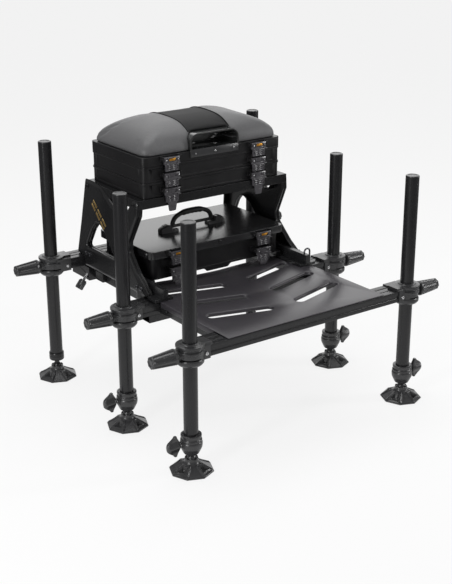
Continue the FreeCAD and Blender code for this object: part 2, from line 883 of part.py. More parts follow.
node("front_crossbar", grooved_bar("-(%s)" % BAR_END, BAR_END, "front_bar_front", "bar_bottom"))
node("rear_crossbar", grooved_bar("-(%s)" % BAR_END, BAR_END, "rear_bar_front", BAR_TOP))

LOW_REAR = "middle_arm_front + low_bar_depth"
LOW_BOTTOM = "bar_bottom - low_bar_height"
node("middle_crossbar", cut(
    box("-low_bar_half", "low_bar_half", "middle_arm_front", LOW_REAR, LOW_BOTTOM, "bar_bottom"),
    box("-low_bar_half", "low_bar_half", "middle_arm_front + low_bar_wall", LOW_REAR + " - low_bar_wall",
        LOW_BOTTOM + " + low_bar_wall", "bar_bottom - low_bar_wall"),
))

ARM_OUTER = "arm_inner + arm_width"
middle_arm = grooved_bar(ARM_OUTER + " + gap", BAR_END, "middle_arm_front", "bar_bottom")
node("middle_leg_arms", group(middle_arm, mirrored(middle_arm)))

RAIL_OUTER = "rail_outer"
RAIL_REAR = "rear_bar_front + bar_depth"
rail = cut(
    box("rail_inner", RAIL_OUTER, "rail_front", RAIL_REAR, "bar_bottom", BAR_TOP),
    box("rail_inner + bar_wall", RAIL_OUTER + " - bar_wall", "rail_front", RAIL_REAR,
        "bar_bottom + bar_wall", BAR_TOP + " - bar_wall"),
)
node("side_rails", group(rail, mirrored(rail)))

FRONT_BAR_REAR = "front_bar_front + bar_depth"
plate_arm = cut(
    box("arm_inner", ARM_OUTER, FRONT_BAR_REAR, "rail_front", "bar_bottom", BAR_TOP),
    box("arm_inner + bar_wall", ARM_OUTER + " - bar_wall", FRONT_BAR_REAR, "rail_front",
        "bar_bottom + bar_wall", BAR_TOP + " - bar_wall"),
    rod("x", "arm_hole_dia / 2", ARM_OUTER + " - bar_wall", ARM_OUTER, y="arm_hole_y",
        z=BAR_LEVEL),
)
node("footplate_arms", group(plate_arm, mirrored(plate_arm)))

# Footplate

PLATE_TOP = BAR_TOP + " + plate_thick"


def stadium(radius, z0, z1, row):
    """Round-ended bar along one angled slot of the right half."""
    y0 = "slot_first_y + %d * slot_pitch" % row
    length = "sqrt((slot_outer_x - slot_inner_x) ^ 2 + slot_rise ^ 2)"
    straight = box("0", length, "-(%s)" % radius, radius, z0, z1)
    near = rod("z", radius, z0, z1)
    far = rod("z", radius, z0, z1, x=length)
    return moved(fuse(straight, near, far), "slot_inner_x", y0,
                 angle="atan(slot_rise / (slot_outer_x - slot_inner_x))")


NOTCH_HALF = RAIL_OUTER + " - gap"
plate_right = [
    ("plate_half", "front_bar_front"),
    ("plate_half", "plate_notch_y"),
    (NOTCH_HALF, "plate_notch_y"),
    (NOTCH_HALF, "plate_rear_side"),
    ("rear_lip_half", "plate_rear_side"),
    ("rear_lip_half / 2", "plate_rear_quarter"),
]
plate_loop = list(plate_right)
plate_loop.append(("0", "plate_rear_mid"))
plate_loop += [("-(%s)" % x, y) for x, y in reversed(plate_right)]
plate = put(padded("XY_Plane", [plate_loop], "plate_thick"), z=BAR_TOP)

lip_front = [
    ("rear_lip_half", "plate_rear_side"),
    ("rear_lip_half / 2", "plate_rear_quarter"),
    ("0", "plate_rear_mid"),
    ("-rear_lip_half / 2", "plate_rear_quarter"),
    ("-rear_lip_half", "plate_rear_side"),
]
lip_loop = lip_front + [(x, y + " - rear_lip_thick") for x, y in reversed(lip_front)]
rear_lip = put(padded("XY_Plane", [lip_loop], "rear_lip_height"), z=PLATE_TOP)

HEM_BOTTOM = BAR_TOP + " - hem_drop"
hem = box("plate_half - hem_thick", "plate_half", FRONT_BAR_REAR + " + gap", "runner_front",
          HEM_BOTTOM, BAR_TOP)
lips = []
holes = []
for row in range(3):
    lip = stadium("slot_half + slot_lip", BAR_TOP + " - slot_lip_drop", BAR_TOP, row)
    hole = stadium("slot_half", BAR_TOP + " - slot_lip_drop", PLATE_TOP, row)
    lips += [lip, mirrored(lip)]
    holes += [hole, mirrored(hole)]
node("footplate", cut(fuse(plate, rear_lip, hem, mirrored(hem), *lips), *holes))

# Runners for the lower box

RUNNER_TOP = PLATE_TOP + " + runner_base"
RUNNER_HIGH = RUNNER_TOP + " + runner_wall_height"
runner = fuse(
    box("runner_inner", RAIL_OUTER, "runner_front", "runner_rear", PLATE_TOP, RUNNER_TOP),
    box(RAIL_OUTER, "runner_pad_outer", "runner_front", "plate_notch_y", PLATE_TOP, RUNNER_TOP),
    box(RAIL_OUTER + " - runner_wall", RAIL_OUTER, "runner_wall_front", "runner_rear",
        RUNNER_TOP, RUNNER_HIGH),
    box("rail_inner", RAIL_OUTER, "plate_rear_side + gap", "rear_bar_front", BAR_TOP, PLATE_TOP),
)
runner = cut(runner, box("0", "leg_x", "rear_bar_front", "leg_x * 2", "0", "rear_leg_top"))
node("slide_rails", group(runner, mirrored(runner)))

HOOK_X = RAIL_OUTER + " + hook_wire_dia / 2 + gap"
HOOK_Y = "runner_front + hook_wire_dia / 2"
HOOK_BEND = RUNNER_TOP + " + hook_rise"
hook_bend = doc.addObject("Part::Torus", "HookBend")
tie(hook_bend, "Radius1", "hook_bend_radius")
tie(hook_bend, "Radius2", "hook_wire_dia / 2")
hook_bend.Angle3 = 180
hook_bend.Placement = FreeCAD.Placement(FreeCAD.Vector(), FreeCAD.Rotation(FreeCAD.Vector(1, 0, 0), 90))
put(hook_bend, HOOK_X + " - hook_bend_radius", HOOK_Y, HOOK_BEND)
node("rail_hook", fuse(
    rod("z", "hook_wire_dia / 2", RUNNER_TOP, HOOK_BEND, x=HOOK_X, y=HOOK_Y),
    hook_bend,
    rod("z", "hook_wire_dia / 2", HOOK_BEND + " - hook_tip_drop", HOOK_BEND,
        x=HOOK_X + " - 2 * hook_bend_radius", y=HOOK_Y),
))

# Side frames: pressed plates that lean inwards, with their edges turned in

REAR_TOP = BAR_TOP + " + bar_height"
side_loop = [
    ("side_foot_front", BAR_TOP),
    ("middle_arm_front + bar_depth + gap", BAR_TOP),
    ("middle_arm_front + bar_depth + gap", "side_foot_bottom"),
    ("side_foot_rear", "side_foot_bottom"),
    ("side_foot_rear", "side_chord_bottom"),
    ("rear_bar_front - gap", "side_chord_bottom"),
    ("rear_bar_front - gap", REAR_TOP),
    ("side_heel_y", REAR_TOP),
    ("side_back_knee_y", "side_back_knee_z"),
    ("side_back_y", "side_crown"),
    ("side_crown_front", "side_crown"),
    ("side_shoulder_y", "side_shoulder_z"),
    ("side_slope_y", "side_slope_z"),
    ("side_valley_rear", "side_valley_rear_z"),
    ("side_valley_front", "side_valley_front_z"),
    ("side_arm_rear", "side_arm_top"),
    ("side_arm_crest", "side_arm_top"),
    ("side_arm_nose_y", "side_arm_nose_z"),
    ("side_arm_front", "side_arm_low"),
    ("side_knee_y", "side_knee_top"),
    ("side_knee_low_y", "side_knee_low"),
    ("side_toe_y", "side_toe_z"),
    ("side_tip_y", "side_tip_z"),
]
arch_loop = [
    ("arch_front", "arch_foot"),
    ("arch_rear", "arch_foot"),
    ("arch_side_y", "arch_side_z"),
    ("arch_peak_rear", "arch_peak"),
    ("arch_peak_front", "arch_peak"),
    ("arch_shoulder_y", "arch_shoulder_z"),
    ("arch_front", "arch_front_top"),
]
SIDE_OUTER = RAIL_OUTER + " + side_thick + side_flange"


def leaning(thing):
    """A piece built on the outer face at its pivot, turned to lean towards the seat."""
    return moved(thing, SIDE_OUTER, z="side_pivot", axis=(0, -1, 0), angle="side_lean")


def side_frame():
    """Plate at its outer face, open towards the rail, with spacers behind its screws."""
    body = padded("YZ_Plane", [side_loop, arch_loop], "side_thick + side_flange")
    pad = body.Tip
    inner_face = min(range(len(pad.Shape.Faces)), key=lambda k: pad.Shape.Faces[k].CenterOfMass.x)
    shell = body.newObject("PartDesign::Thickness", "Shell")
    shell.Base = (pad, ["Face%d" % (inner_face + 1)])
    tie(shell, "Value", "side_thick")
    shell.Reversed = True
    shell.Join = 1
    doc.recompute()
    put(body, "-(side_thick + side_flange)", z="-side_pivot")
    trimmed = cut(
        leaning(body),
        box("0", RAIL_OUTER, "middle_arm_front", RAIL_REAR, "0", RUNNER_HIGH + " + gap"),
        box("0", RAIL_OUTER, "middle_arm_front", RAIL_REAR, "seat_frame_bottom", "lid_top"),
        box("0", "leg_x", "rear_bar_front - gap", RAIL_REAR, "0", REAR_TOP),
        box("0", "leg_x", "middle_arm_front", "middle_arm_front + bar_depth + gap", "0", BAR_TOP),
    )
    spacer = rod("x", "side_spacer_dia / 2", RAIL_OUTER, SIDE_OUTER + " - side_thick / 4",
                 y="side_spacer_y", z="side_spacer_z")
    seat_spacers = []
    for y in ("seat_bolt_front", "seat_bolt_rear"):
        seat_spacers.append(rod("x", "side_spacer_dia / 2", RAIL_OUTER, RAIL_OUTER + " + side_thick",
                                y=y, z="seat_bolt_z"))
    return fuse(trimmed, spacer, *seat_spacers)


right_frame = side_frame()
node("side_frame_right", right_frame)
node("side_frame_left", mirrored(right_frame))

# Seat frame

SEAT_HALF = RAIL_OUTER
FRAME_HINGE = "seat_frame_top + gap / 2"
seat_shell = cut(
    box("-(%s)" % SEAT_HALF, SEAT_HALF, "seat_frame_front", "seat_frame_rear",
        "seat_frame_bottom", "seat_frame_top"),
    box("-(%s) + seat_frame_wall" % SEAT_HALF, "%s - seat_frame_wall" % SEAT_HALF,
        "seat_frame_front + seat_frame_wall", "seat_frame_rear - seat_frame_wall",
        "seat_frame_bottom", "seat_frame_top - seat_frame_wall"),
    box("-(%s) + seat_frame_ledge" % SEAT_HALF, "%s - seat_frame_ledge" % SEAT_HALF,
        "seat_frame_front + seat_frame_ledge", "seat_frame_rear - seat_frame_ledge",
        "seat_frame_bottom", "seat_frame_top"),
)
HINGE_Y = "box_rear + hinge_out"
frame_eyes = []
frame_ways = []
for x in ("hinge_x", "-hinge_x"):
    left, right = x + " - hinge_middle_half", x + " + hinge_middle_half"
    frame_eyes.append(rod("x", "hinge_radius", left, right, y=HINGE_Y, z=FRAME_HINGE))
    frame_eyes.append(box(left, right, "seat_frame_rear - seat_frame_wall", HINGE_Y,
                          FRAME_HINGE + " - hinge_radius", "seat_frame_top"))
    frame_ways.append(rod("x", "hinge_pin_dia / 2 + slide_fit", left, right, y=HINGE_Y, z=FRAME_HINGE))
node("seat_frame", cut(fuse(seat_shell, *frame_eyes), *frame_ways))


# Latches and hinges shared by the boxes

def latch_lever(tab):
    """Lever that hangs from its pin at the origin, front towards -Y."""
    pieces = [
        rod("x", "latch_front", "-latch_half", "latch_half"),
        box("-latch_half", "latch_half", "-latch_front", "latch_back", "-latch_plate_length", "0"),
        box("-latch_half + latch_tongue_inset", "latch_half - latch_tongue_inset",
            "-latch_front - latch_rib", "latch_back", "-latch_length", "-latch_tongue_top"),
        rod("x", "latch_pin_dia / 2", "-latch_half - latch_ear", "latch_half + latch_ear"),
        box("-latch_badge_half", "latch_badge_half", "-latch_front - latch_rib", "0",
            "-latch_badge_rise", "latch_badge_rise"),
    ]
    for level in ("-latch_first_rib", "-latch_second_rib"):
        pieces.append(box("-latch_half + latch_rib_inset", "latch_half - latch_rib_inset",
                          "-latch_front - latch_rib", "0", level + " - latch_rib", level))
    if tab != "0":
        pieces.append(box("-latch_tab_half", "latch_tab_half", "-latch_front", "0",
                          "-latch_length - %s" % tab, "-latch_tab_top"))
    return fuse(*pieces)


def latch_ears(wall, y, z, x):
    """Ears on a wall, one each side of a lever, with holes for its pin."""
    pieces = []
    for side in ("-1", "1"):
        near = "%s + %s * (latch_half + gap + latch_ear / 2)" % (x, side)
        pieces.append(box(near + " - latch_ear / 2", near + " + latch_ear / 2",
                          y + " - latch_front", wall, z + " - latch_ear_half", z + " + latch_ear_half"))
    return pieces


def pin_way(y, z, x):
    return rod("x", "latch_pin_dia / 2 + slide_fit", "%s - latch_half - 2 * latch_ear" % x,
               "%s + latch_half + 2 * latch_ear" % x, y=y, z=z)


def fitted(solid, wall, y, z, x):
    """A shell with ears for a latch at plus and minus x."""
    ears = latch_ears(wall, y, z, x) + latch_ears(wall, y, z, "-(%s)" % x)
    ways = [pin_way(y, z, x), pin_way(y, z, "-(%s)" % x)]
    return cut(fuse(solid, *ears), *ways)


def latch_row(label, lever, x, y, z):
    left = moved(lever, "-(%s)" % x, y, z)
    right = moved(lever, x, y, z)
    node(label, group(left, right))


def hinge_eye(x, wall, seam):
    """Fixed middle knuckle at the back of a tray."""
    y = "%s + hinge_out" % wall
    left = "%s - hinge_middle_half" % x
    right = "%s + hinge_middle_half" % x
    return cut(
        fuse(rod("x", "hinge_radius", left, right, y=y, z=seam),
             box(left, right, wall + " - tray_wall / 2", y, seam + " - hinge_radius", seam + " - gap")),
        rod("x", "hinge_pin_dia / 2 + slide_fit", left, right, y=y, z=seam),
    )


def hinge_pin(x, wall, seam):
    """Two outer knuckles and the pin between them, on the moving part above."""
    y = "%s + hinge_out" % wall
    pieces = [rod("x", "hinge_pin_dia / 2", "%s - hinge_half" % x, "%s + hinge_half" % x, y=y, z=seam)]
    for side in ("-1", "1"):
        near = "%s + %s * (hinge_middle_half + gap)" % (x, side)
        far = "%s + %s * hinge_half" % (x, side)
        left, right = (far, near) if side == "-1" else (near, far)
        pieces.append(rod("x", "hinge_radius", left, right, y=y, z=seam))
        pieces.append(box(left, right, wall + " - tray_wall / 2", y, seam + " + gap",
                          seam + " + hinge_radius"))
    return fuse(*pieces)


def both_sides(maker, wall, seam):
    return [maker("hinge_x", wall, seam), maker("-hinge_x", wall, seam)]


def tray_shell(half, front, rear, bottom, top):
    """Open tray with a rim, a floor and recessed panels between its corner posts."""
    outer = slab(half, front, rear, bottom, top, "tray_corner")
    rim = slab(half + " + tray_rim", front + " - tray_rim", rear + " + tray_rim",
               top + " - tray_rim_height", top, "tray_corner")
    hollow = slab(half + " - tray_wall", front + " + tray_wall", rear + " - tray_wall",
                  bottom + " + tray_floor", top, "tray_corner - tray_wall")
    low = bottom + " + tray_rim_height"
    high = top + " - tray_rim_height - panel_gap"
    across = half + " - post_width"
    panels = [
        box("-(%s)" % across, across, front, front + " + panel_depth", low, high),
        box("-(%s)" % across, across, rear + " - panel_depth", rear, low, high),
        box("-(%s)" % half, "-(%s) + panel_depth" % half, front + " + post_width",
            rear + " - post_width", low, high),
        box(half + " - panel_depth", half, front + " + post_width", rear + " - post_width", low, high),
    ]
    return cut(fuse(outer, rim), hollow, *panels)


# Seat box: two trays and a lid on the seat frame

TRAY_BOTTOM = "seat_frame_top + gap"
LATCH_Y = "box_front - latch_out"
LOW_LATCH = TRAY_BOTTOM + " + latch_above_seam"
MID_LATCH = "lower_seam + latch_above_seam"
TOP_LATCH = "upper_seam + latch_above_seam"
SEAM_LIFT = " + gap / 2"
SEAM_DROP = " - gap / 2"

lower_tray = tray_shell("box_half", "box_front", "box_rear", TRAY_BOTTOM, "lower_seam" + SEAM_DROP)
lower_tray = fuse(lower_tray, *(both_sides(hinge_eye, "box_rear", "lower_seam")
                                + both_sides(hinge_pin, "box_rear", FRAME_HINGE)))
node("lower_tray", fitted(lower_tray, "box_front + panel_depth", LATCH_Y, LOW_LATCH, "latch_x"))

upper_tray = tray_shell("box_half", "box_front", "box_rear", "lower_seam" + SEAM_LIFT,
                        "upper_seam" + SEAM_DROP)
upper_tray = fuse(upper_tray, *(both_sides(hinge_eye, "box_rear", "upper_seam")
                                + both_sides(hinge_pin, "box_rear", "lower_seam")))
node("upper_tray", fitted(upper_tray, "box_front + panel_depth", LATCH_Y, MID_LATCH, "latch_x"))

lid_solid = slab("box_half + tray_rim", "box_front - tray_rim", "box_rear + tray_rim",
                 "upper_seam" + SEAM_LIFT, "lid_top", "tray_corner")
lid_hollow = slab("box_half - tray_wall", "box_front + tray_wall", "box_rear - tray_wall",
                  "upper_seam" + SEAM_LIFT, "lid_top - tray_floor", "tray_corner - tray_wall")
seat_lid = fuse(cut(lid_solid, lid_hollow), *both_sides(hinge_pin, "box_rear", "upper_seam"))
node("seat_lid", fitted(seat_lid, "box_front", LATCH_Y, TOP_LATCH, "latch_x"))

short_lever = latch_lever("0")
latch_row("seat_latches_top", short_lever, "latch_x", LATCH_Y, TOP_LATCH)
latch_row("seat_latches_middle", short_lever, "latch_x", LATCH_Y, MID_LATCH)
latch_row("seat_latches_bottom", latch_lever("latch_tab"), "latch_x", LATCH_Y, LOW_LATCH)


# Cushion: crowned, with its sides drawn in, worked out from rounded rectangles

def rounded_plan(half_x, y0, y1, corner, level):
    """Four straight edges and four quarter arcs."""
    bend = corner * (1 - math.sqrt(0.5))
    edges = []
    corners = ((half_x, y0, 1, -1), (half_x, y1, 1, 1), (-half_x, y1, -1, 1), (-half_x, y0, -1, -1))
    arcs = []
    for x, y, sx, sy in corners:
        on_x = FreeCAD.Vector(x - sx * corner, y, level)
        on_y = FreeCAD.Vector(x, y - sy * corner, level)
        mid = FreeCAD.Vector(x - sx * bend, y - sy * bend, level)
        arcs.append((on_x, mid, on_y) if sx * sy < 0 else (on_y, mid, on_x))
    for k, arc in enumerate(arcs):
        edges.append(Part.Arc(*arc).toShape())
        edges.append(Part.LineSegment(arc[2], arcs[(k + 1) % 4][0]).toShape())
    return Part.Wire(edges)


# How far in each section lies, as a share of the crown's half width
CROWN_STEPS = (0.01, 0.06, 0.16, 0.3, 0.5, 0.75)


def cushion_shape():
    """Rounded rectangles drawn in and raised along an ellipse, with the recess cut out."""
    low = size("lid_top")
    half = size("box_half") - size("cushion_inset")
    front = size("box_front") + size("cushion_inset") / 2
    rear = size("box_rear") - size("cushion_inset") / 2
    corner = size("cushion_corner")
    tuck = size("cushion_tuck")
    edge = size("cushion_edge")
    crown_x = size("cushion_crown_x")
    crown_y = size("cushion_crown_y")
    highest = math.sqrt(1 - (1 - CROWN_STEPS[-1]) ** 2)
    rise = (size("cushion_height") - edge) / highest
    sections = [rounded_plan(half - tuck, front + tuck, rear - tuck, corner - tuck, low)]
    for inward in CROWN_STEPS:
        upward = math.sqrt(1 - (1 - inward) ** 2)
        sections.append(rounded_plan(half - crown_x * inward, front + crown_y * inward,
                                     rear - crown_y * inward, corner, low + edge + rise * upward))
    solid = Part.makeLoft(sections, True, False)
    deep = size("recess_depth")
    wide = size("recess_half")
    top = size("recess_top")
    tool = Part.makeBox(2 * wide, 2 * deep, top - low, FreeCAD.Vector(-wide, front - deep, low))
    shoulders = [side for side in tool.Edges
                 if side.BoundBox.ZMin > top - 0.01 and side.BoundBox.YLength > deep]
    tool = tool.makeFillet(size("recess_corner"), shoulders)
    return solid.cut(tool)


cushion = doc.addObject("Part::Feature", "Cushion")
cushion.Shape = cushion_shape()
cushion.Placement = FreeCAD.Placement()
node("seat_cushion", cushion)

# Handle recess: a liner in the cushion and a strip screwed to the lid's front

LINER_FRONT = "box_front + cushion_inset / 2"


def arched_block(half, y0, y1, z0, z1, corner):
    """Block with its two long upper edges rounded."""
    loop = [("-(%s)" % half, z0), (half, z0), (half, z1), ("-(%s)" % half, z1)]
    body = padded("XZ_Plane", [loop], "(%s) - (%s)" % (y1, y0), reverse=True)
    pad = body.Tip
    names = []
    for k, edge in enumerate(pad.Shape.Edges, 1):
        bounds = edge.BoundBox
        if bounds.ZMin > pad.Shape.BoundBox.ZMax - 0.01 and bounds.YLength > 1:
            names.append("Edge%d" % k)
    fillet = body.newObject("PartDesign::Fillet", "Shoulders")
    fillet.Base = (pad, names)
    tie(fillet, "Radius", corner)
    return put(body, y=y0)


liner = cut(
    arched_block("recess_half - gap", LINER_FRONT + " - liner_front", LINER_FRONT + " + recess_depth - gap",
                 "lid_top", "recess_top - gap", "recess_corner"),
    arched_block("recess_half - gap - liner_wall", LINER_FRONT + " - liner_front",
                 LINER_FRONT + " + recess_depth - gap - liner_wall", "lid_top + liner_wall",
                 "recess_top - gap - liner_wall", "recess_corner - liner_wall"),
)
STRIP_FRONT = "box_front - tray_rim - liner_wall"
strip = box("-recess_half", "recess_half", STRIP_FRONT, "box_front - tray_rim",
            "lid_top - liner_strip_height", "lid_top + liner_wall")
screw_heads = []
for share in ("-0.8", "0", "0.8"):
    screw_heads.append(rod("y", "liner_screw_dia / 2", STRIP_FRONT + " - liner_screw_out", STRIP_FRONT,
                           x="recess_half * %s" % share, z="lid_top - liner_strip_height / 2"))
node("handle_plate", fuse(liner, strip, *screw_heads))

# Lower box on the runners

CASE_TRAY_HALF = "case_half - case_inset"
CASE_TRAY_FRONT = "case_front + case_inset"
CASE_TRAY_REAR = "case_rear - case_inset"
CASE_LATCH_Y = "case_front - latch_out"
CASE_TOP_LATCH = "case_seam + case_latch_above_seam"
CASE_HINGE = "case_seam + hinge_radius"
CASE_LID_INNER = "case_top - tray_floor"
case_body = tray_shell(CASE_TRAY_HALF, CASE_TRAY_FRONT, CASE_TRAY_REAR, "case_bottom",
                       CASE_LID_INNER + " - gap")
CASE_RUNNER_BOTTOM = RUNNER_TOP + " + gap"
strips = []
for left, right in (("case_runner_inner", "case_half - gap"), ("-case_half + gap", "-case_runner_inner")):
    strips.append(box(left, right, CASE_TRAY_FRONT, CASE_TRAY_REAR, CASE_RUNNER_BOTTOM, "case_bottom"))
CASE_EYE_LOW = "case_seam - case_eye_drop"
case_eyes = []
for x in ("hinge_x", "-hinge_x"):
    y = "case_rear + hinge_out"
    left, right = x + " - hinge_middle_half", x + " + hinge_middle_half"
    eye = fuse(rod("x", "hinge_radius", left, right, y=y, z=CASE_HINGE),
               box(left, right, CASE_TRAY_REAR + " - tray_wall / 2", y, CASE_EYE_LOW,
                   "case_seam - case_eye_gap"),
               box(left, right, y + " - hinge_radius", y + " + hinge_radius", CASE_EYE_LOW, CASE_HINGE))
    case_eyes.append(cut(eye, rod("x", "hinge_pin_dia / 2 + slide_fit", left, right, y=y, z=CASE_HINGE)))
case_body = fuse(case_body, *(strips + case_eyes))
node("box_tray", fitted(case_body, CASE_TRAY_FRONT + " + panel_depth", CASE_LATCH_Y,
                        "case_latch_low", "case_latch_x"))

case_lid = cut(
    slab("case_half", "case_front", "case_rear", "case_seam", "case_top", "tray_corner"),
    slab("case_half - tray_wall", "case_front + tray_wall", "case_rear - tray_wall", "case_seam",
         CASE_LID_INNER, "tray_corner - tray_wall"),
)
lid_pins = both_sides(hinge_pin, "case_rear", CASE_HINGE)
side_plug = rod("x", "case_plug_dia / 2", "-case_half - case_plug_out", "-case_half + case_plug_in",
                y="case_plug_y", z="(case_seam + case_top) / 2")
case_lid = fuse(case_lid, side_plug, *lid_pins)
node("box_lid", fitted(case_lid, "case_front", CASE_LATCH_Y, CASE_TOP_LATCH, "case_latch_x"))
latch_row("box_latches_top", short_lever, "case_latch_x", CASE_LATCH_Y, CASE_TOP_LATCH)
latch_row("box_latches_bottom", latch_lever("case_tab"), "case_latch_x", CASE_LATCH_Y, "case_latch_low")

# Carrying handle


def strut(x0, z0, x1, z1, radius):
    """Round bar in the handle's plane between two points."""
    run = "sqrt((%s - (%s)) ^ 2 + (%s - (%s)) ^ 2)" % (x1, x0, z1, z0)
    bar = rod("z", radius, "0", run)
    bar.Placement = FreeCAD.Placement(FreeCAD.Vector(), FreeCAD.Rotation(FreeCAD.Vector(0, 1, 0), 30))
    tie(bar, "Placement.Rotation.Angle", "atan2(%s - (%s); %s - (%s))" % (x1, x0, z1, z0))
    return put(bar, x0, "0", z0)


HANDLE_RADIUS = "handle_dia / 2"
half_handle = [
    strut("handle_foot", "0", "handle_shoulder", "handle_shoulder_z", HANDLE_RADIUS),
    ball(HANDLE_RADIUS, "handle_foot"),
    ball(HANDLE_RADIUS, "handle_shoulder", "0", "handle_shoulder_z"),
    strut("handle_grip_half", "handle_grip - handle_pivot", "handle_shoulder",
          "handle_shoulder_z", HANDLE_RADIUS),
    rod("x", "handle_pin_dia / 2", "handle_foot", "handle_pin_end"),
]
half_handle = fuse(*half_handle)
grip = rod("x", "handle_grip_dia / 2", "-handle_grip_half", "handle_grip_half",
           z="handle_grip - handle_pivot")
handle = fuse(half_handle, mirrored(half_handle), grip,
              ball("handle_grip_dia / 2", "handle_grip_half", "0", "handle_grip - handle_pivot"),
              ball("handle_grip_dia / 2", "-handle_grip_half", "0", "handle_grip - handle_pivot"))
node("box_handle", moved(handle, y="handle_y", z="handle_pivot"))

bracket = cut(
    fuse(box("bracket_x - bracket_half", "bracket_x + bracket_half", "handle_y - bracket_depth / 2",
             "handle_y + bracket_depth / 2", "case_top", "case_top + bracket_pad"),
         box("handle_foot + handle_dia / 2 + bracket_gap", "bracket_x + bracket_half - bracket_step",
             "handle_y - bracket_depth / 2 + bracket_gap", "handle_y + bracket_depth / 2 - bracket_gap",
             "case_top", "handle_pivot + handle_dia / 2")),
    rod("x", "handle_pin_dia / 2 + slide_fit", "handle_foot", "handle_pin_end + gap",
        y="handle_y", z="handle_pivot"),
    box("0", "handle_foot + handle_dia / 2 + bracket_gap", "0", "leg_x",
        "handle_pivot - handle_dia / 2 - gap", "handle_grip"),
)
node("handle_brackets", group(bracket, mirrored(bracket)))

# Rear corner blocks, the tilted screw and the stops

corner_block = fuse(
    box(RAIL_OUTER, "block_outer", "block_front", "block_rear", "bar_bottom - block_drop", BAR_TOP),
    box("rail_inner", "block_outer", "block_front", "block_rear", "bar_bottom - block_drop", "bar_bottom"),
)
stop = box(RAIL_OUTER, "stop_outer", "stop_front", "stop_rear", BAR_TOP + " - stop_height", BAR_TOP)
SCREW_TURN = "180 + screw_tilt"
screw_hole = rod("z", "stud_dia / 2 + slide_fit", "-screw_sink - boss_gap", "screw_grip")
screw_hole = moved(screw_hole, "screw_x", "screw_y", "screw_top", axis=(0, 1, 0), angle=SCREW_TURN)
blocks = [mirrored(corner_block), stop, mirrored(stop), corner_block]
blocks[0] = cut(blocks[0], screw_hole)
node("rail_clamp_blocks", group(*blocks))

screw = fuse(
    rod("z", "stud_dia / 2", "-screw_sink", "screw_stud + stud_bite"),
    box("-screw_grip / 2", "screw_grip / 2", "-wing_thick / 2", "wing_thick / 2",
        "screw_stud", "screw_stud + screw_grip"),
    rod("z", "screw_hub_dia / 2", "screw_hub_low", "screw_hub_high"),
)
node("rail_knob", moved(screw, "screw_x", "screw_y", "screw_top", axis=(0, 1, 0), angle=SCREW_TURN))

# Screws: one in the front of each clamp, and those of the side and seat frames

bolts = []
for leg_y, bar_front, level in (
    ("front_leg_y", "front_bar_front", BAR_LEVEL),
    ("middle_leg_y", "middle_arm_front", BAR_LEVEL),
    ("rear_leg_y", "rear_bar_front", REAR_LEVEL),
):
    face = "%s - clamp_wall" % bar_front
    bolts.append(rod("y", "bolt_dia / 2", face + " - bolt_head", face, x="bolt_x",
                     z=level + " - bolt_drop"))
for y, z in (("foot_bolt_front", "foot_bolt_z"), ("foot_bolt_rear", "foot_bolt_z"),
             ("heel_bolt_front", "heel_bolt_z"), ("heel_bolt_rear", "heel_bolt_z"),
             ("seat_bolt_front", "seat_bolt_z"), ("seat_bolt_rear", "seat_bolt_z")):
    screw = rod("x", "frame_bolt_dia / 2", "0", "bolt_head", y=y, z="%s - side_pivot" % z)
    bolts.append(leaning(screw))
bolts += [mirrored(bolt) for bolt in list(bolts)]
node("frame_bolts", group(*bolts))

# Check every object, then write one file for each sub-part

doc.recompute()
faults = []
for thing in doc.Objects:
    if "Invalid" in thing.State or "Error" in thing.State:
        faults.append("%s (%s) %s" % (thing.Name, thing.Label, thing.State))
for thing in nodes:
    if thing.Shape.isNull() or not thing.Shape.isValid():
        faults.append("%s has no valid shape" % thing.Label)
if faults:
    raise RuntimeError("\n".join(faults))
os.makedirs("parts", exist_ok=True)
for thing in nodes:
    thing.Shape.exportStep("parts/%s.step" % thing.Label)
print("%d sub-parts, %d solids" % (len(nodes), sum(len(thing.Shape.Solids) for thing in nodes)))
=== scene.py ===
# %% [markdown]
# # A fishing seat box
# The frame below is the measured object: each node is one part of it, at its real place.
# Bars, rails and trays keep their measured shape and get a finer finish and softened edges.
# The pieces that a hand or an eye meets first are modelled again here, over the same sizes.

# %% Frame
import math

import bmesh
import bpy
from mathutils import Matrix, Vector
from mathutils.bvhtree import BVHTree


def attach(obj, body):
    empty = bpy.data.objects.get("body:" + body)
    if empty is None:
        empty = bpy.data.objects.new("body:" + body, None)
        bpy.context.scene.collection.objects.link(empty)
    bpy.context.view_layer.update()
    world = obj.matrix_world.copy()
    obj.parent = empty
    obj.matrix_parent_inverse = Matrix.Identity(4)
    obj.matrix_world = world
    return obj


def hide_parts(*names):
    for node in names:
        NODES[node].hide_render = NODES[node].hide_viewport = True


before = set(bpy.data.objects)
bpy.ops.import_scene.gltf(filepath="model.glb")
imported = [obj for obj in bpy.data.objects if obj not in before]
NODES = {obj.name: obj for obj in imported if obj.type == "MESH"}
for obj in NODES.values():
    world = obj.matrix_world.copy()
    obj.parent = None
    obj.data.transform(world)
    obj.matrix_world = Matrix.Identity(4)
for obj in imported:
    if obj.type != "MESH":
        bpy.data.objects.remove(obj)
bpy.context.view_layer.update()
MM = 0.001

# %% [markdown]
# ## Camera
# The photograph was taken from the front left, a little above the seat.
# A camera is three axes and a place, so its matrix is written from the two angles and the roll.

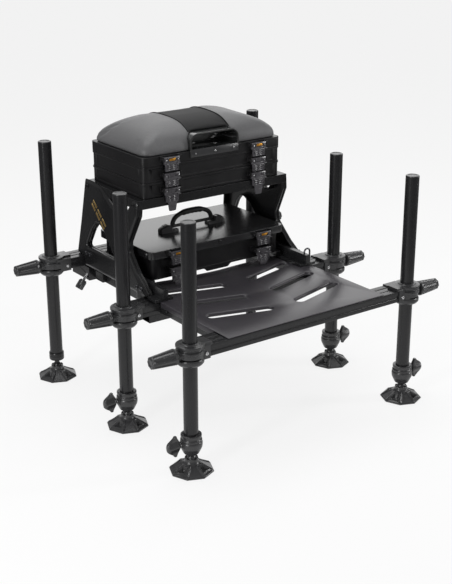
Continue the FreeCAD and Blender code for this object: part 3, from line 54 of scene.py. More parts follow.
# %% Camera
LOOK_ROUND = math.radians(-35.784)
LOOK_DOWN = math.radians(20.328)
ROLL = math.radians(-0.123)
CAMERA_PLACE = Vector((-1742.04, -2420.35, 1388.93)) * MM
LENS = 71.117
back = Vector((math.sin(LOOK_ROUND) * math.cos(LOOK_DOWN),
               -math.cos(LOOK_ROUND) * math.cos(LOOK_DOWN), math.sin(LOOK_DOWN)))
level = Vector((math.cos(LOOK_ROUND), math.sin(LOOK_ROUND), 0))
upward = back.cross(level)
right = math.cos(ROLL) * level + math.sin(ROLL) * upward
above = math.cos(ROLL) * upward - math.sin(ROLL) * level
camera_data = bpy.data.cameras.new("Camera")
camera_data.lens = LENS
camera_data.clip_start = 0.05
camera = bpy.data.objects.new("Camera", camera_data)
camera.matrix_world = Matrix((
    (right.x, above.x, back.x, CAMERA_PLACE.x),
    (right.y, above.y, back.y, CAMERA_PLACE.y),
    (right.z, above.z, back.z, CAMERA_PLACE.z),
    (0, 0, 0, 1),
))
bpy.context.scene.collection.objects.link(camera)
bpy.context.scene.camera = camera
bpy.context.scene.view_settings.view_transform = "Standard"
print("camera at", [round(x, 3) for x in CAMERA_PLACE])

# %% [markdown]
# ## Writing materials as sums
# A material is a graph of nodes. Wiring it by hand hides the idea, so a small class wraps a socket:
# adding or multiplying two wires adds the Math node, and one method adds any other node.

# %% Wire
class Wire:
    """A socket in a material's graph. Arithmetic on it adds the nodes."""

    def __init__(self, tree, socket=None):
        self.tree = tree
        self.socket = socket

    def node(self, kind, settings=None, sockets=None, out=0):
        """Add a node: its settings first, then a value or a link for each socket."""
        made = self.tree.nodes.new(kind)
        for name, value in (settings or {}).items():
            setattr(made, name, value)
        for name, value in (sockets or {}).items():
            if isinstance(value, Wire):
                self.tree.links.new(value.socket, made.inputs[name])
            else:
                made.inputs[name].default_value = value
        return Wire(self.tree, made.outputs[out] if made.outputs else None)

    def maths(self, operation, *values):
        return self.node("ShaderNodeMath", {"operation": operation}, dict(enumerate(values)))

    def __add__(self, other):
        return self.maths("ADD", self, other)

    def __rsub__(self, other):
        return self.maths("SUBTRACT", other, self)

    def __mul__(self, other):
        return self.maths("MULTIPLY", self, other)


def along(graph, stretch=(1, 1, 1)):
    """Places on the object itself, in metres, drawn out along an axis."""
    place = graph.node("ShaderNodeTexCoord", out="Object")
    return graph.node("ShaderNodeMapping", sockets={"Vector": place, "Scale": stretch})


def noise(graph, scale, stretch=(1, 1, 1), detail=3.0):
    """Soft random values from 0 to 1, `scale` of them to the metre."""
    return graph.node("ShaderNodeTexNoise", sockets={
        "Vector": along(graph, stretch), "Scale": scale, "Detail": detail})


def shades(graph, mask, dark, light):
    """A colour between two, chosen by a mask."""
    return graph.node("ShaderNodeMix", {"data_type": "RGBA"},
                      {0: mask, 6: (*dark, 1), 7: (*light, 1)}, out=2)


def steep(graph, value, low, high):
    """0 below low, 1 above high, and a straight ramp between."""
    return graph.node("ShaderNodeMapRange", sockets={
        "Value": value, "From Min": low, "From Max": high})


def bumped(graph, height, depth, strength=1.0):
    return graph.node("ShaderNodeBump", sockets={
        "Height": height, "Distance": depth, "Strength": strength})


def material(name, recipe):
    """A Principled material whose sockets come from a recipe."""
    made = bpy.data.materials.new(name)
    made.use_nodes = True
    made.node_tree.nodes.clear()
    graph = Wire(made.node_tree)
    shader = graph.node("ShaderNodeBsdfPrincipled", sockets=recipe(graph))
    graph.node("ShaderNodeOutputMaterial", sockets={"Surface": shader})
    return made


# %% [markdown]
# ## Metals
# Anodised tube is black with faint streaks from its die, so its noise is pulled out along the tube.
# Powder coat is smooth and slightly pebbled, like orange peel. Screws and studs are plain steel.

# %% Metals
def anodised(stretch):
    def recipe(graph):
        streaks = noise(graph, 60, stretch)
        clouds = noise(graph, 7)
        return {
            "Base Color": shades(graph, clouds, (0.009, 0.009, 0.010), (0.017, 0.017, 0.018)),
            "Roughness": streaks * 0.14 + 0.19,
            "Normal": bumped(graph, streaks, 0.00004),
            "Specular IOR Level": 0.5,
        }
    return recipe


def powder_coat(dark, light, rough, peel=0.00006):
    def recipe(graph):
        pebbles = noise(graph, 900, detail=2.0)
        clouds = noise(graph, 5)
        return {
            "Base Color": shades(graph, clouds, dark, light),
            "Roughness": clouds * 0.10 + rough,
            "Normal": bumped(graph, pebbles, peel),
        }
    return recipe


def bright(colour, rough):
    def recipe(graph):
        swirl = noise(graph, 300)
        return {
            "Base Color": (*colour, 1),
            "Metallic": 1.0,
            "Roughness": swirl * 0.12 + rough,
        }
    return recipe


upright_tube = material("anodised_upright", anodised((1, 1, 0.04)))
cross_bar = material("anodised_cross", anodised((0.04, 1, 1)))
rail_bar = material("anodised_rail", anodised((1, 0.04, 1)))
frame_coat = material("frame_coat", powder_coat((0.006, 0.006, 0.0065), (0.011, 0.011, 0.012), 0.22))
plate_coat = material("footplate_coat", powder_coat((0.028, 0.026, 0.030), (0.046, 0.042, 0.049), 0.29))
screw_steel = material("screw_steel", bright((0.80, 0.80, 0.81), 0.16))
dark_steel = material("dark_steel", bright((0.16, 0.16, 0.17), 0.20))
plain_gold = material("plain_gold", bright((0.72, 0.50, 0.20), 0.30))

# %% [markdown]
# ## Plastics, rubber and leatherette
# Moulded plastic has a fine spark-eroded grain. The tackle boxes are a shade smoother than the knobs.
# Leatherette grain is cells, so it comes from a Voronoi texture, broken up by noise.

# %% Plastics
def moulded(dark, light, rough, grain=0.00010, scale=1100, shine=0.5):
    def recipe(graph):
        grit = noise(graph, scale, detail=2.0)
        clouds = noise(graph, 24)
        return {
            "Base Color": shades(graph, clouds, dark, light),
            "Roughness": clouds * 0.14 + rough,
            "Normal": bumped(graph, grit, grain),
            "Specular IOR Level": shine,
        }
    return recipe


def glossy(colour, rough, ior):
    def recipe(graph):
        clouds = noise(graph, 9)
        return {
            "Base Color": (*colour, 1),
            "Roughness": clouds * 0.05 + rough,
            "IOR": ior,
        }
    return recipe


def leatherette(graph):
    cells = graph.node("ShaderNodeTexVoronoi", {"feature": "F1"}, {
        "Vector": along(graph), "Scale": 560.0, "Randomness": 1.0})
    creases = noise(graph, 240, detail=4.0)
    clouds = noise(graph, 6)
    grain = cells * 0.7 + creases * 0.5
    return {
        "Base Color": shades(graph, steep(graph, grain + clouds * 0.4, 0.3, 1.0),
                             (0.066, 0.066, 0.068), (0.110, 0.110, 0.113)),
        "Roughness": grain * 0.20 + 0.36,
        "Normal": bumped(graph, grain, 0.00035, 0.7),
        "Sheen Weight": 0.08,
        "Sheen Roughness": 0.4,
    }


def panel_cover(graph):
    weave = noise(graph, 700, detail=1.0)
    return {
        "Base Color": shades(graph, weave, (0.007, 0.007, 0.007), (0.014, 0.014, 0.015)),
        "Roughness": weave * 0.12 + 0.54,
        "Specular IOR Level": 0.2,
        "Normal": bumped(graph, weave, 0.00012),
    }


moulding = material("knob_moulding", moulded(
    (0.020, 0.020, 0.021), (0.036, 0.036, 0.038), 0.22, 0.00008, 1100, 0.7))
box_shell = material("box_moulding", moulded(
    (0.004, 0.004, 0.0045), (0.009, 0.0085, 0.0095), 0.27, 0.00006))
latch_moulding = material("latch_moulding", moulded(
    (0.050, 0.047, 0.053), (0.078, 0.074, 0.082), 0.17, 0.00002, 500, 0.9))
lid_moulding = material("lid_gloss", glossy((0.010, 0.010, 0.011), 0.19, 1.9))
soft_rubber = material("soft_rubber", moulded(
    (0.010, 0.010, 0.010), (0.018, 0.018, 0.018), 0.38, 0.00012, 700))
hood_gloss = material("hood_gloss", glossy((0.020, 0.021, 0.021), 0.10, 2.4))
leather = material("leatherette", leatherette)
panel = material("seat_panel", panel_cover)
badge_orange = material("badge_orange", bright((0.85, 0.40, 0.06), 0.30))
print(len(bpy.data.materials), "materials")

# %% [markdown]
# ## Finishing the measured parts
# A measured solid has knife-sharp edges, and nothing real has. A Weld joins its faces again, a small
# Bevel rounds each edge, and weighted normals keep the flat faces flat. The mesh itself isn't touched.

# %% Measured parts
def dress(names, finish, width=0.8):
    """Give measured parts a finish and edges rounded by a width in millimetres."""
    for name in names:
        part = NODES[name]
        for entry in part.material_slots:
            entry.material = finish
        weld = part.modifiers.new("Weld", "WELD")
        weld.merge_threshold = 0.02 * MM
        edges = part.modifiers.new("Edges", "BEVEL")
        edges.width = width * MM
        edges.segments = 2
        edges.limit_method = "ANGLE"
        edges.angle_limit = math.radians(35)
        edges.use_clamp_overlap = False
        part.modifiers.new("Shading", "WEIGHTED_NORMAL")


LEGS = {"front_left": (-351, -345), "front_right": (351, -345), "middle_left": (-351, -45),
        "middle_right": (351, -45), "rear_left": (-351, 345), "rear_right": (351, 345)}
FRONT_FOUR = [place for place in LEGS if not place.startswith("rear")]
CLAMP_HIGH = {place: 342 if place.startswith("rear") else 312 for place in LEGS}
OUTWARD = {place: 0 if x > 0 else 180 for place, (x, _) in LEGS.items()}
dress(["front_crossbar", "rear_crossbar", "middle_crossbar", "middle_leg_arms"], cross_bar, 1.0)
dress(["side_rails", "footplate_arms", "slide_rails"], rail_bar, 1.0)
dress(["seat_frame", "rail_clamp_blocks"], frame_coat, 1.2)
dress(["rail_hook"], dark_steel, 0.3)
dress(["leg_clamps"], moulding, 0.9)
dress(["lower_tray", "upper_tray", "seat_lid", "box_tray"], box_shell, 0.9)
dress(["box_lid"], lid_moulding, 1.0)
dress(["inner_leg_" + place for place in FRONT_FOUR], moulding, 0.4)
print("dressed", sum(1 for part in NODES.values() if part.modifiers), "measured parts")

# %% [markdown]
# ## Tools for new pieces
# Shapes are drawn in millimetres and turned into metres once, at the end. Almost everything here is a skin
# over rings: a turned part, a knob or a handle is a stack of closed loops of the same number of points.

# %% Tools
def band(shape, low, high):
    """Faces between two closed loops of vertices."""
    for k in range(len(low)):
        n = (k + 1) % len(low)
        shape.faces.new((low[k], low[n], high[n], high[k]))


def skin(rings, closed=False):
    """Faces between rings of points. They end in caps, or the last ring joins the first."""
    shape = bmesh.new()
    loops = [[shape.verts.new(point) for point in ring] for ring in rings]
    for low, high in zip(loops, loops[1:]):
        band(shape, low, high)
    if closed:
        band(shape, loops[-1], loops[0])
    else:
        shape.faces.new(list(reversed(loops[0])))
        shape.faces.new(loops[-1])
    return shape


def angles(count):
    """Equal steps of one full turn."""
    return [2 * math.pi * k / count for k in range(count)]


def circle(radius, z, count=48):
    return [(radius * math.cos(angle), radius * math.sin(angle), z) for angle in angles(count)]


def turned(profile, count=48, closed=False):
    """A round part from pairs of radius and height."""
    return skin([circle(radius, z, count) for radius, z in profile], closed=closed)


def joined(*parts):
    """One shape made of several."""
    whole = bmesh.new()
    for part in parts:
        mesh = bpy.data.meshes.new("part")
        part.to_mesh(mesh)
        part.free()
        whole.from_mesh(mesh)
        bpy.data.meshes.remove(mesh)
    return whole


def block(x0, x1, y0, y1, z0, z1, edge=1.0, steps=2):
    """A block with rounded edges."""
    shape = bmesh.new()
    bmesh.ops.create_cube(shape, size=1)
    bmesh.ops.scale(shape, vec=(x1 - x0, y1 - y0, z1 - z0), verts=shape.verts)
    bmesh.ops.translate(shape, vec=((x0 + x1) / 2, (y0 + y1) / 2, (z0 + z1) / 2), verts=shape.verts)
    bmesh.ops.bevel(shape, geom=shape.edges[:], offset=edge, segments=steps, profile=0.5, affect="EDGES")
    return shape


def shifted(shape, x=0, y=0, z=0, turn=0, axis="Z"):
    """Turn a shape about an axis by degrees, then move it."""
    spin = Matrix.Rotation(math.radians(turn), 4, axis)
    bmesh.ops.transform(shape, matrix=Matrix.Translation((x, y, z)) @ spin, verts=shape.verts)
    return shape


def aimed(shape, direction, at):
    """Point a shape drawn along +Z in another direction."""
    spin = Vector(direction).to_track_quat("Z", "Y").to_matrix().to_4x4()
    bmesh.ops.transform(shape, matrix=Matrix.Translation(at) @ spin, verts=shape.verts)
    return shape


def piped(path, radius, count=12):
    """A tube along points. Its rings keep one direction in mind, so that it doesn't twist."""
    points = [Vector(point) for point in path]
    rings = []
    side = None
    for k, point in enumerate(points):
        run = (points[min(k + 1, len(points) - 1)] - points[max(k - 1, 0)]).normalized()
        if side is None:
            side = run.orthogonal().normalized()
        side = (side - run * side.dot(run)).normalized()
        other = run.cross(side)
        rings.append([point + (side * math.cos(angle) + other * math.sin(angle)) * radius
                      for angle in angles(count)])
    return skin(rings)


def cast(name, shape, finish, body, stands_for=(), crease=38):
    """Turn a shape drawn in millimetres into a piece of the scene."""
    bmesh.ops.scale(shape, vec=(MM, MM, MM), verts=shape.verts)
    bmesh.ops.recalc_face_normals(shape, faces=shape.faces)
    mesh = bpy.data.meshes.new(name)
    shape.to_mesh(mesh)
    shape.free()
    mesh.shade_smooth()
    mesh.set_sharp_from_angle(angle=math.radians(crease))
    mesh.materials.append(finish)
    piece = bpy.data.objects.new(name, mesh)
    bpy.context.scene.collection.objects.link(piece)
    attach(piece, body)
    if stands_for:
        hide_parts(*stands_for)
    return piece


def soft(value):
    """A smooth step from 0 to 1."""
    value = min(1.0, max(0.0, value))
    return value * value * (3 - 2 * value)


# %% [markdown]
# ## Leg tubes and plugs
# Each leg is a 36 mm tube with a push-in plug. The plug shows as a rounded cap and a fine ring below it.

# %% Tubes
LEG_TOP = {"front": 634, "middle": 634, "rear": 692}
LEG_FOOT = {"front": 58, "middle": 58, "rear": 59}


def tube_shape(low, top):
    return turned([(15.9, low), (18, low), (18, top - 21.8), (17.75, top - 21.5), (17.75, top - 21.1),
                   (18, top - 20.8), (18, top - 3.2), (16.2, top - 3.0), (15.9, top - 3.4)], closed=True)


def plug_shape(top):
    return turned([(15.8, top - 18), (15.8, top - 3.1), (17.9, top - 3.0), (18, top - 2.2),
                   (17.6, top - 0.9), (16.4, top - 0.15), (14.5, top), (12.6, top - 0.1),
                   (11.9, top - 0.9), (4, top - 1.0)])


FERRULE = [(18.05, 59.5), (18.05, 75.6), (20.4, 76), (21, 75.2), (21, 68), (20.3, 67.2), (20.3, 66),
           (21, 65.2), (21, 56), (20, 54), (9, 54), (7.4, 51), (7, 46), (6.6, 43), (9, 41), (11.2, 37.3),
           (12, 33), (11.2, 28.7), (9, 25), (5, 22.1), (1, 21.1)]
for place, (x, y) in LEGS.items():
    row, body = place.split("_")[0], "leg_" + place
    parts = [tube_shape(LEG_FOOT[row], LEG_TOP[row])]
    if row == "rear":
        parts.append(turned(FERRULE))
    cast("tube_" + place, shifted(joined(*parts), x, y), upright_tube, body, ["leg_tube_" + place])
    cast("tube_plug_" + place, shifted(plug_shape(LEG_TOP[row]), x, y), moulding, body, ())
print("six tubes")

# %% [markdown]
# ## Collars and winged screws
# The collar under each front tube is one turned moulding: a ring, a waist and a belly that tapers down.
# Its winged screw is a lens of plastic on a bright stud: a stack of soft rectangles across the wings.

# %% Collars
COLLAR = [(18.1, 58.2), (18.1, 99.6), (19, 100), (24.6, 100), (25.7, 99.2), (26, 98), (26, 94.6),
          (25.5, 93.4), (24.3, 92.8), (23.9, 91.6), (23.9, 90), (24.5, 88.9), (26, 88), (26.8, 86.4),
          (27, 84.5), (26.7, 82.8), (26.2, 82), (26.4, 81.2), (27.4, 80.2), (28, 78), (28.1, 74),
          (27.7, 69), (26.8, 65), (25.6, 62.4), (25.2, 61.6), (24.6, 60.6), (22.6, 56), (20.2, 51),
          (19, 48.8), (18, 48.2), (16.4, 48.2), (16.4, 58.2)]
WING_HIGH = 78
WING_HALF = 26


def wing_shape():
    rings = []
    for s in range(-WING_HALF, WING_HALF + 1, 2):
        near_x = 34 + 9 * soft((abs(s) - 6) / 20)
        far_x = 69 - 19 * soft((abs(s) - 7) / 19) ** 1.2
        thick = 5.0 + 5.8 * math.exp(-(s / 8.5) ** 2)
        if abs(s) / WING_HALF > 0.9:
            thick *= 0.8
        middle, half = (near_x + far_x) / 2, (far_x - near_x) / 2
        on_wing = soft((abs(s) - 9) / 5) * soft((25 - abs(s)) / 4)
        ring = []
        for angle in angles(32):
            c, d = math.cos(angle), math.sin(angle)
            px = math.copysign(abs(c) ** 0.45, c) * half
            py = math.copysign(abs(d) ** 0.55, d) * thick
            dent = 1.6 * math.exp(-((px / half) / 0.6) ** 2) * on_wing
            ring.append((middle + px, py - math.copysign(dent, d), WING_HIGH + s * 1.02))
        rings.append(ring)
    return skin(rings)


def screw_thread(radius, start, end, pitch=1.6):
    """A stud with ridges like a thread, drawn along +Z."""
    profile = []
    z = start
    while z < end:
        profile += [(radius, z), (radius - 0.55, z + pitch / 2)]
        z += pitch
    profile.append((radius, end))
    return turned(profile, 20)


for place in FRONT_FOUR:
    where = (*LEGS[place], 0, OUTWARD[place])
    knob = "wing_knob_" + place
    boss = turned([(8, 20), (8.2, 27), (7.6, 30.4), (6.6, 31), (4.2, 31)], 32)
    collar = joined(turned(COLLAR, 64, closed=True), aimed(boss, (1, 0, 0), (0, 0, WING_HIGH)))
    cast("collar_" + place, shifted(collar, *where), moulding, "leg_" + place,
         ["leg_collar_" + place])
    cast("wing_" + place, shifted(wing_shape(), *where), moulding, knob, [knob], 50)
    stud = aimed(screw_thread(4, 16.5, 35), (1, 0, 0), (0, 0, WING_HIGH))
    cast("wing_stud_" + place, shifted(stud, *where), screw_steel, knob)
print("four collars")

# %% [markdown]
# ## Feet
# A foot is an eight-sided dish with ridged corners, four windows with raised frames, and a socket of petals.
# It is a height field over rings and angles: each feature only raises or lowers the skin near it.

# %% Feet
FOOT_RADIUS = 56
SLOPE = [53.0 - 1.55 * k for k in range(21)]


def foot_height(radius, angle):
    """Height of the foot's slope, with ridges, windows and their frames."""
    height = 4.6 + (54 - radius) * 0.53
    corner = (angle + math.pi / 8) % (math.pi / 4) - math.pi / 8
    inside = soft((radius - 20) / 5) * soft((55 - radius) / 4)
    height += 2.6 * math.exp(-(corner * radius / 2.6) ** 2) * inside
    side = (angle - math.pi / 8 + math.pi / 4) % (math.pi / 2) - math.pi / 4
    u, v = radius * math.cos(side), abs(radius * math.sin(side))
    if abs(side) < 0.5:
        edge = min(u - 27.5, 44.5 - u, 4.6 + (u - 26) * 0.36 - v)
        height += 2.2 * math.exp(-((edge + 1.4) / 1.5) ** 2)
        height -= 9.5 * soft((edge + 0.4) / 1.5)
    return max(height, 2.0)


def foot_shape():
    rings = []

    def ring(radius, height, blend):
        points = []
        for angle in angles(160):
            face = angle % (math.pi / 4) - math.pi / 8
            flat = math.cos(math.pi / 8) / math.cos(face)
            reach = radius * (1 + (flat - 1) * blend)
            level_here = height(radius, angle) if callable(height) else height
            points.append((reach * math.cos(angle), reach * math.sin(angle), level_here))
        rings.append(points)

    ring(20, 0, 0)
    ring(53, 0, 1)
    ring(55.4, 0.3, 1)
    ring(FOOT_RADIUS, 1.2, 1)
    ring(FOOT_RADIUS, 3.0, 1)
    ring(55.2, 4.2, 1)
    for radius in SLOPE:
        ring(radius, foot_height, soft((radius - 18) / 26))
    ring(19.4, lambda r, a: 24.6, 0)
    ring(18, lambda r, a: 26.2, 0)
    for radius, height, lobe in ((17, 30, 0), (17, 34, 0.3), (16.6, 36, 1), (15.4, 36.8, 1), (13.6, 36.8, 1),
                                 (12.5, 35.6, 0.6)):
        ring(radius, lambda r, a, h=height, w=lobe: h - w * 2.2 * soft(0.5 - 0.9 * math.cos(6 * a)), 0)
    for radius, height in ((12.4, 33), (11.4, 28.3), (8.4, 23.9), (4, 21.2)):
        ring(radius, height, 0)
    return skin(rings)


for place, (x, y) in LEGS.items():
    cast("tilting_foot_" + place, shifted(foot_shape(), x, y, 0, OUTWARD[place]), moulding,
         "foot_" + place, ["foot_" + place], 60)
print("six feet")

# %% [markdown]
# ## Clamp knobs
# The knob is a tapered grip with eight flutes. The ribs between them carry fine teeth for a wet hand.

# %% Knobs
GRIP_WIDE = 20.5
GRIP_START = 45


def knob_radius(x):
    """Radius of the grip along its length."""
    if x < GRIP_START:
        return GRIP_WIDE - 3.2 * (1 - soft((x - 40) / 5)) ** 1.5
    return GRIP_WIDE - 5.0 * (x - GRIP_START) / 63


def knob_shape():
    rings = []
    stations = [41, 41.6, 42.4, 43.4, 44.6] + [46 + 0.8 * k for k in range(76)] + [107.4, 108.4]
    for x in stations:
        base = knob_radius(x)
        depth = 0.17 * soft((x - 45) / 6) * (0.35 + 0.65 * soft((107.5 - x) / 5))
        teeth = 0.55 * soft((x - 50) / 3) * soft((100 - x) / 3) * math.sin(2 * math.pi * x / 3.2)
        ring = []
        for angle in angles(128):
            rib = (angle + math.pi / 8) % (math.pi / 4) - math.pi / 8
            flute = soft((abs(rib) - 0.10) / 0.12)
            wide = 1 - 0.03 * abs(rib) / (math.pi / 8)
            radius = base * (wide - depth * flute) + teeth * math.exp(-(rib / 0.09) ** 2)
            ring.append((x, radius * math.cos(angle), radius * math.sin(angle)))
        rings.append(ring)
    last = rings[-1]
    for x, share in ((109.6, 0.93), (110.5, 0.82), (111, 0.66), (111, 0.52), (110.2, 0.46), (110.2, 0.2)):
        rings.append([(x, py * share, pz * share) for _, py, pz in last])
    return skin(rings)


for place in LEGS:
    where = (*LEGS[place], CLAMP_HIGH[place], OUTWARD[place])
    knob = "clamp_knob_" + place
    cast("grip_" + place, shifted(knob_shape(), *where), moulding, knob, [knob], 50)
    stud = aimed(screw_thread(4, 18.5, 42), (1, 0, 0), (0, 0, 0))
    cast("grip_stud_" + place, shifted(stud, *where), dark_steel, knob)
print("six knobs")

# %% [markdown]
# ## Clamp lips and screws
# A flared lip guides the tube into each clamp and catches the light. A bright screw closes each block.

# %% Lips
def socket_screw(radius=4.5, height=3.2):
    """A round head with a six-sided socket, drawn along +Z."""
    def hexagon(size, z):
        ring = []
        for angle in angles(36):
            face = angle % (math.pi / 3) - math.pi / 6
            reach = size * math.cos(math.pi / 6) / math.cos(face)
            ring.append((reach * math.cos(angle), reach * math.sin(angle), z))
        return ring
    head = [(radius, -1), (radius, height - 0.9), (radius - 0.3, height - 0.3), (radius - 0.9, height)]
    return skin([circle(size, z, 36) for size, z in head]
                + [hexagon(radius * 0.56, height), hexagon(radius * 0.52, height * 0.4)])


LIP = [(18.15, 27.6), (19.2, 27.9), (20.6, 27.6), (22.4, 26.8), (23.6, 25.9), (24, 25), (24.6, 24.2),
       (27, 23.6), (30, 23.3), (31, 22.8), (18.15, 22.8)]
lips = [shifted(turned(LIP, 56, closed=True), x, y, CLAMP_HIGH[place]) for place, (x, y) in LEGS.items()]
cast("clamp_lips", joined(*lips), moulding, "chassis", ())

CLAMP_SCREWS = [(x, y, z) for y, z in ((-366, 309), (-63, 309), (312, 339)) for x in (-318, 318)]
FOOT_SCREWS = [(8, 348), (29, 348), (300, 369), (281, 369)]
SEAT_SCREWS = [(300, 560), (62, 560)]
SIDE_OUT = 265
LEAN_FROM = 355
LEAN_DEGREES = 4.1
LEAN = math.tan(math.radians(LEAN_DEGREES))


def face_at(z):
    """How far out the leaning outer face of a side frame is at a height."""
    return SIDE_OUT - LEAN * (z - LEAN_FROM)


def plate_screws(places):
    return joined(*[aimed(socket_screw(5.6, 3.4), (side, 0, LEAN), (side * (face_at(z) - 0.2), y, z))
                    for side in (-1, 1) for y, z in places])


screws = [aimed(socket_screw(), (0, -1, 0), place) for place in CLAMP_SCREWS]
cast("bright_screws", joined(*screws), screw_steel, "chassis", ["frame_bolts"], 30)
cast("frame_screws", plate_screws(FOOT_SCREWS), dark_steel, "chassis", (), 30)
cast("painted_screws", plate_screws(SEAT_SCREWS), frame_coat, "chassis", (), 30)
print("screws")

# %% [markdown]
# ## Pressed side frames
# Each side frame is pressed metal that leans inwards, with its edges and its arch folded in along a groove.
# The outline is drawn in step by step, each time at another height, and a skin joins the steps. Corners
# stay round: one that points outwards gets tighter as it moves in, one that points inwards gets wider.

# %% Side frames
SIDE_LOOP = [(-21, 327), (0.3, 327), (0.3, 311), (35, 311), (35, 330), (314.7, 330), (314.7, 357),
             (355, 357), (337, 460), (320, 578), (275, 578), (234, 573), (205, 555), (132, 515), (112, 519),
             (71, 571), (48, 571), (44, 563), (45, 530), (85, 453), (83, 427), (36, 380), (-23, 338)]
ARCH_LOOP = [(154, 396), (206, 450), (235, 466), (254, 466), (277, 441), (306, 388), (154, 388)]
FOLD = [(4.6, -4.6), (4.6, -19.4), (3.8, -20), (1.2, -20), (0.3, -19.6), (0, -18.6), (0, -16),
        (0.6, -14.6), (1.6, -13.2), (2.3, -12), (2.3, -11.2), (1.5, -10.2), (0.6, -9), (0.3, -7.6),
        (0.7, -5.8), (1.8, -4), (3.4, -2.4), (5.4, -1.2), (7.6, -0.4), (9.6, 0), (10.2, 0)]
ARCH_FOLD = 0.6
RAIL_SIDE = 245
RAIL_TOP = 363
SEAT_FRAME_LOW = 548


def split(loop, levels):
    """An outline with extra corners where it crosses some heights."""
    points = []
    for k, (y, z) in enumerate(loop):
        points.append((y, z))
        next_y, next_z = loop[(k + 1) % len(loop)]
        crossings = [(cut - z) / (next_z - z) for cut in levels if (z - cut) * (next_z - cut) < 0]
        points += [(y + (next_y - y) * t, z + (next_z - z) * t) for t in sorted(crossings)]
    return points


def drawn_in(loop, inset, radius=10, steps=6):
    """An outline moved to its left by an inset, with round corners of the same number of points."""
    corners, turns = [], []
    for k, corner in enumerate(loop):
        here = Vector(corner)
        way_in = (here - Vector(loop[k - 1])).normalized()
        way_out = (Vector(loop[(k + 1) % len(loop)]) - here).normalized()
        across_in, across_out = Vector((-way_in.y, way_in.x)), Vector((-way_out.y, way_out.x))
        corners.append(here + (across_in + across_out) * inset / (1 + across_in.dot(across_out)))
        turns.append(math.atan2(way_in.cross(way_out), way_in.dot(way_out)))
    points = []
    for k, here in enumerate(corners):
        back_way = corners[k - 1] - here
        on_way = corners[(k + 1) % len(corners)] - here
        sharpest = 0.42 * min((Vector(loop[k]) - Vector(loop[k - 1])).length,
                              (Vector(loop[(k + 1) % len(loop)]) - Vector(loop[k])).length)
        reach = min(radius * math.tan(abs(turns[k]) / 2), sharpest) - inset * math.tan(turns[k] / 2)
        reach = max(0.8, min(reach, 0.47 * back_way.length, 0.47 * on_way.length))
        start = here + back_way.normalized() * reach
        end = here + on_way.normalized() * reach
        for step in range(steps):
            t = step / (steps - 1)
            points.append(start * (1 - t) ** 2 + here * 2 * t * (1 - t) + end * t ** 2)
    return points


def filled(shape, loops):
    """Flat faces between closed loops of vertices."""
    edges = []
    for verts in loops:
        for k, vert in enumerate(verts):
            pair = (vert, verts[(k + 1) % len(verts)])
            edges.append(shape.edges.get(pair) or shape.edges.new(pair))
    bmesh.ops.triangle_fill(shape, use_beauty=True, use_dissolve=False, edges=edges)


def frame_shape(side):
    shape = bmesh.new()
    ends = []
    outline = split(SIDE_LOOP, (SEAT_FRAME_LOW - 1.5, SEAT_FRAME_LOW + 1.5))
    for loop, spread in ((outline, 1), (ARCH_LOOP, ARCH_FOLD)):
        rings = []
        for inset, depth in FOLD:
            ring = []
            for y, z in drawn_in(loop, inset * spread):
                x = face_at(z) + depth
                if z < RAIL_TOP or z > SEAT_FRAME_LOW:
                    x = max(x, RAIL_SIDE)
                ring.append(shape.verts.new((side * x, y, z)))
            rings.append(ring)
        for low, high in zip(rings, rings[1:]):
            band(shape, low, high)
        ends.append((rings[0], rings[-1]))
    filled(shape, [back_ring for back_ring, _ in ends])
    filled(shape, [front_ring for _, front_ring in ends])
    return shape


for side, name in ((-1, "side_frame_left"), (1, "side_frame_right")):
    cast("pressed_" + name, frame_shape(side), frame_coat, "chassis", [name], 60)
print("side frames")

# %% [markdown]
# ## Plain inlays on the side frames
# Six slanted gold bars lie on each side frame, above the arch. They are plain shapes.

# %% Inlays
bars = []
for side in (-1, 1):
    for way in (16, 48, 80):
        for rise in (-6.4, 6.4):
            bar = shifted(block(-0.8, 0.8, -13, 13, rise - 3.2, rise + 3.2, 0.6), 0, 0, 0, 39, "X")
            bar_y, bar_z = 273 - 0.777 * way, 524 - 0.629 * way
            bars.append(shifted(bar, side * (face_at(bar_z) + 0.2), bar_y, bar_z, -LEAN_DEGREES * side, "Y"))
cast("gold_inlays", joined(*bars), plain_gold, "chassis")

# %% [markdown]
# ## Footplate
# The footplate is folded sheet with six slots whose edges are rolled down. Its flat part is filled between
# outline and slots, and rings of faces carry each edge round and down. A Solidify gives it a thickness.

# %% Footplate
PLATE_Z = 330.0
SLOTS = [((52 * side, -259 + 104 * row), (198 * side, -219 + 104 * row))
         for side in (1, -1) for row in range(3)]
SLOT_ROLL = [(16.2, 0.35), (15, 1.1), (14, 2.3), (13.3, 4), (13, 6), (13, 8.6)]


def stadium(start, end, radius, count=14):
    """A round-ended slot's outline."""
    a, b = Vector(start), Vector(end)
    run = (b - a).normalized()
    across = Vector((-run.y, run.x))
    points = []
    for centre, turn in ((b, -math.pi / 2), (a, math.pi / 2)):
        for k in range(count + 1):
            angle = turn + math.pi * k / count
            points.append(centre + run * math.cos(angle) * radius + across * math.sin(angle) * radius)
    return points


PLATE_HALF = [(252, -363), (252, -26), (244.7, -26), (244.7, 62), (204, 62), (102, 48)]


def plate_outline(inset):
    """The plate's outline drawn in by an inset."""
    points = []
    for x, y in PLATE_HALF:
        pulled_y = y + inset if y < -100 else (y if y == -26 else y - inset)
        points.append((x - inset, pulled_y))
    points.append((0, 43 - inset))
    return points + [(-x, y) for x, y in reversed(points[:-1])]


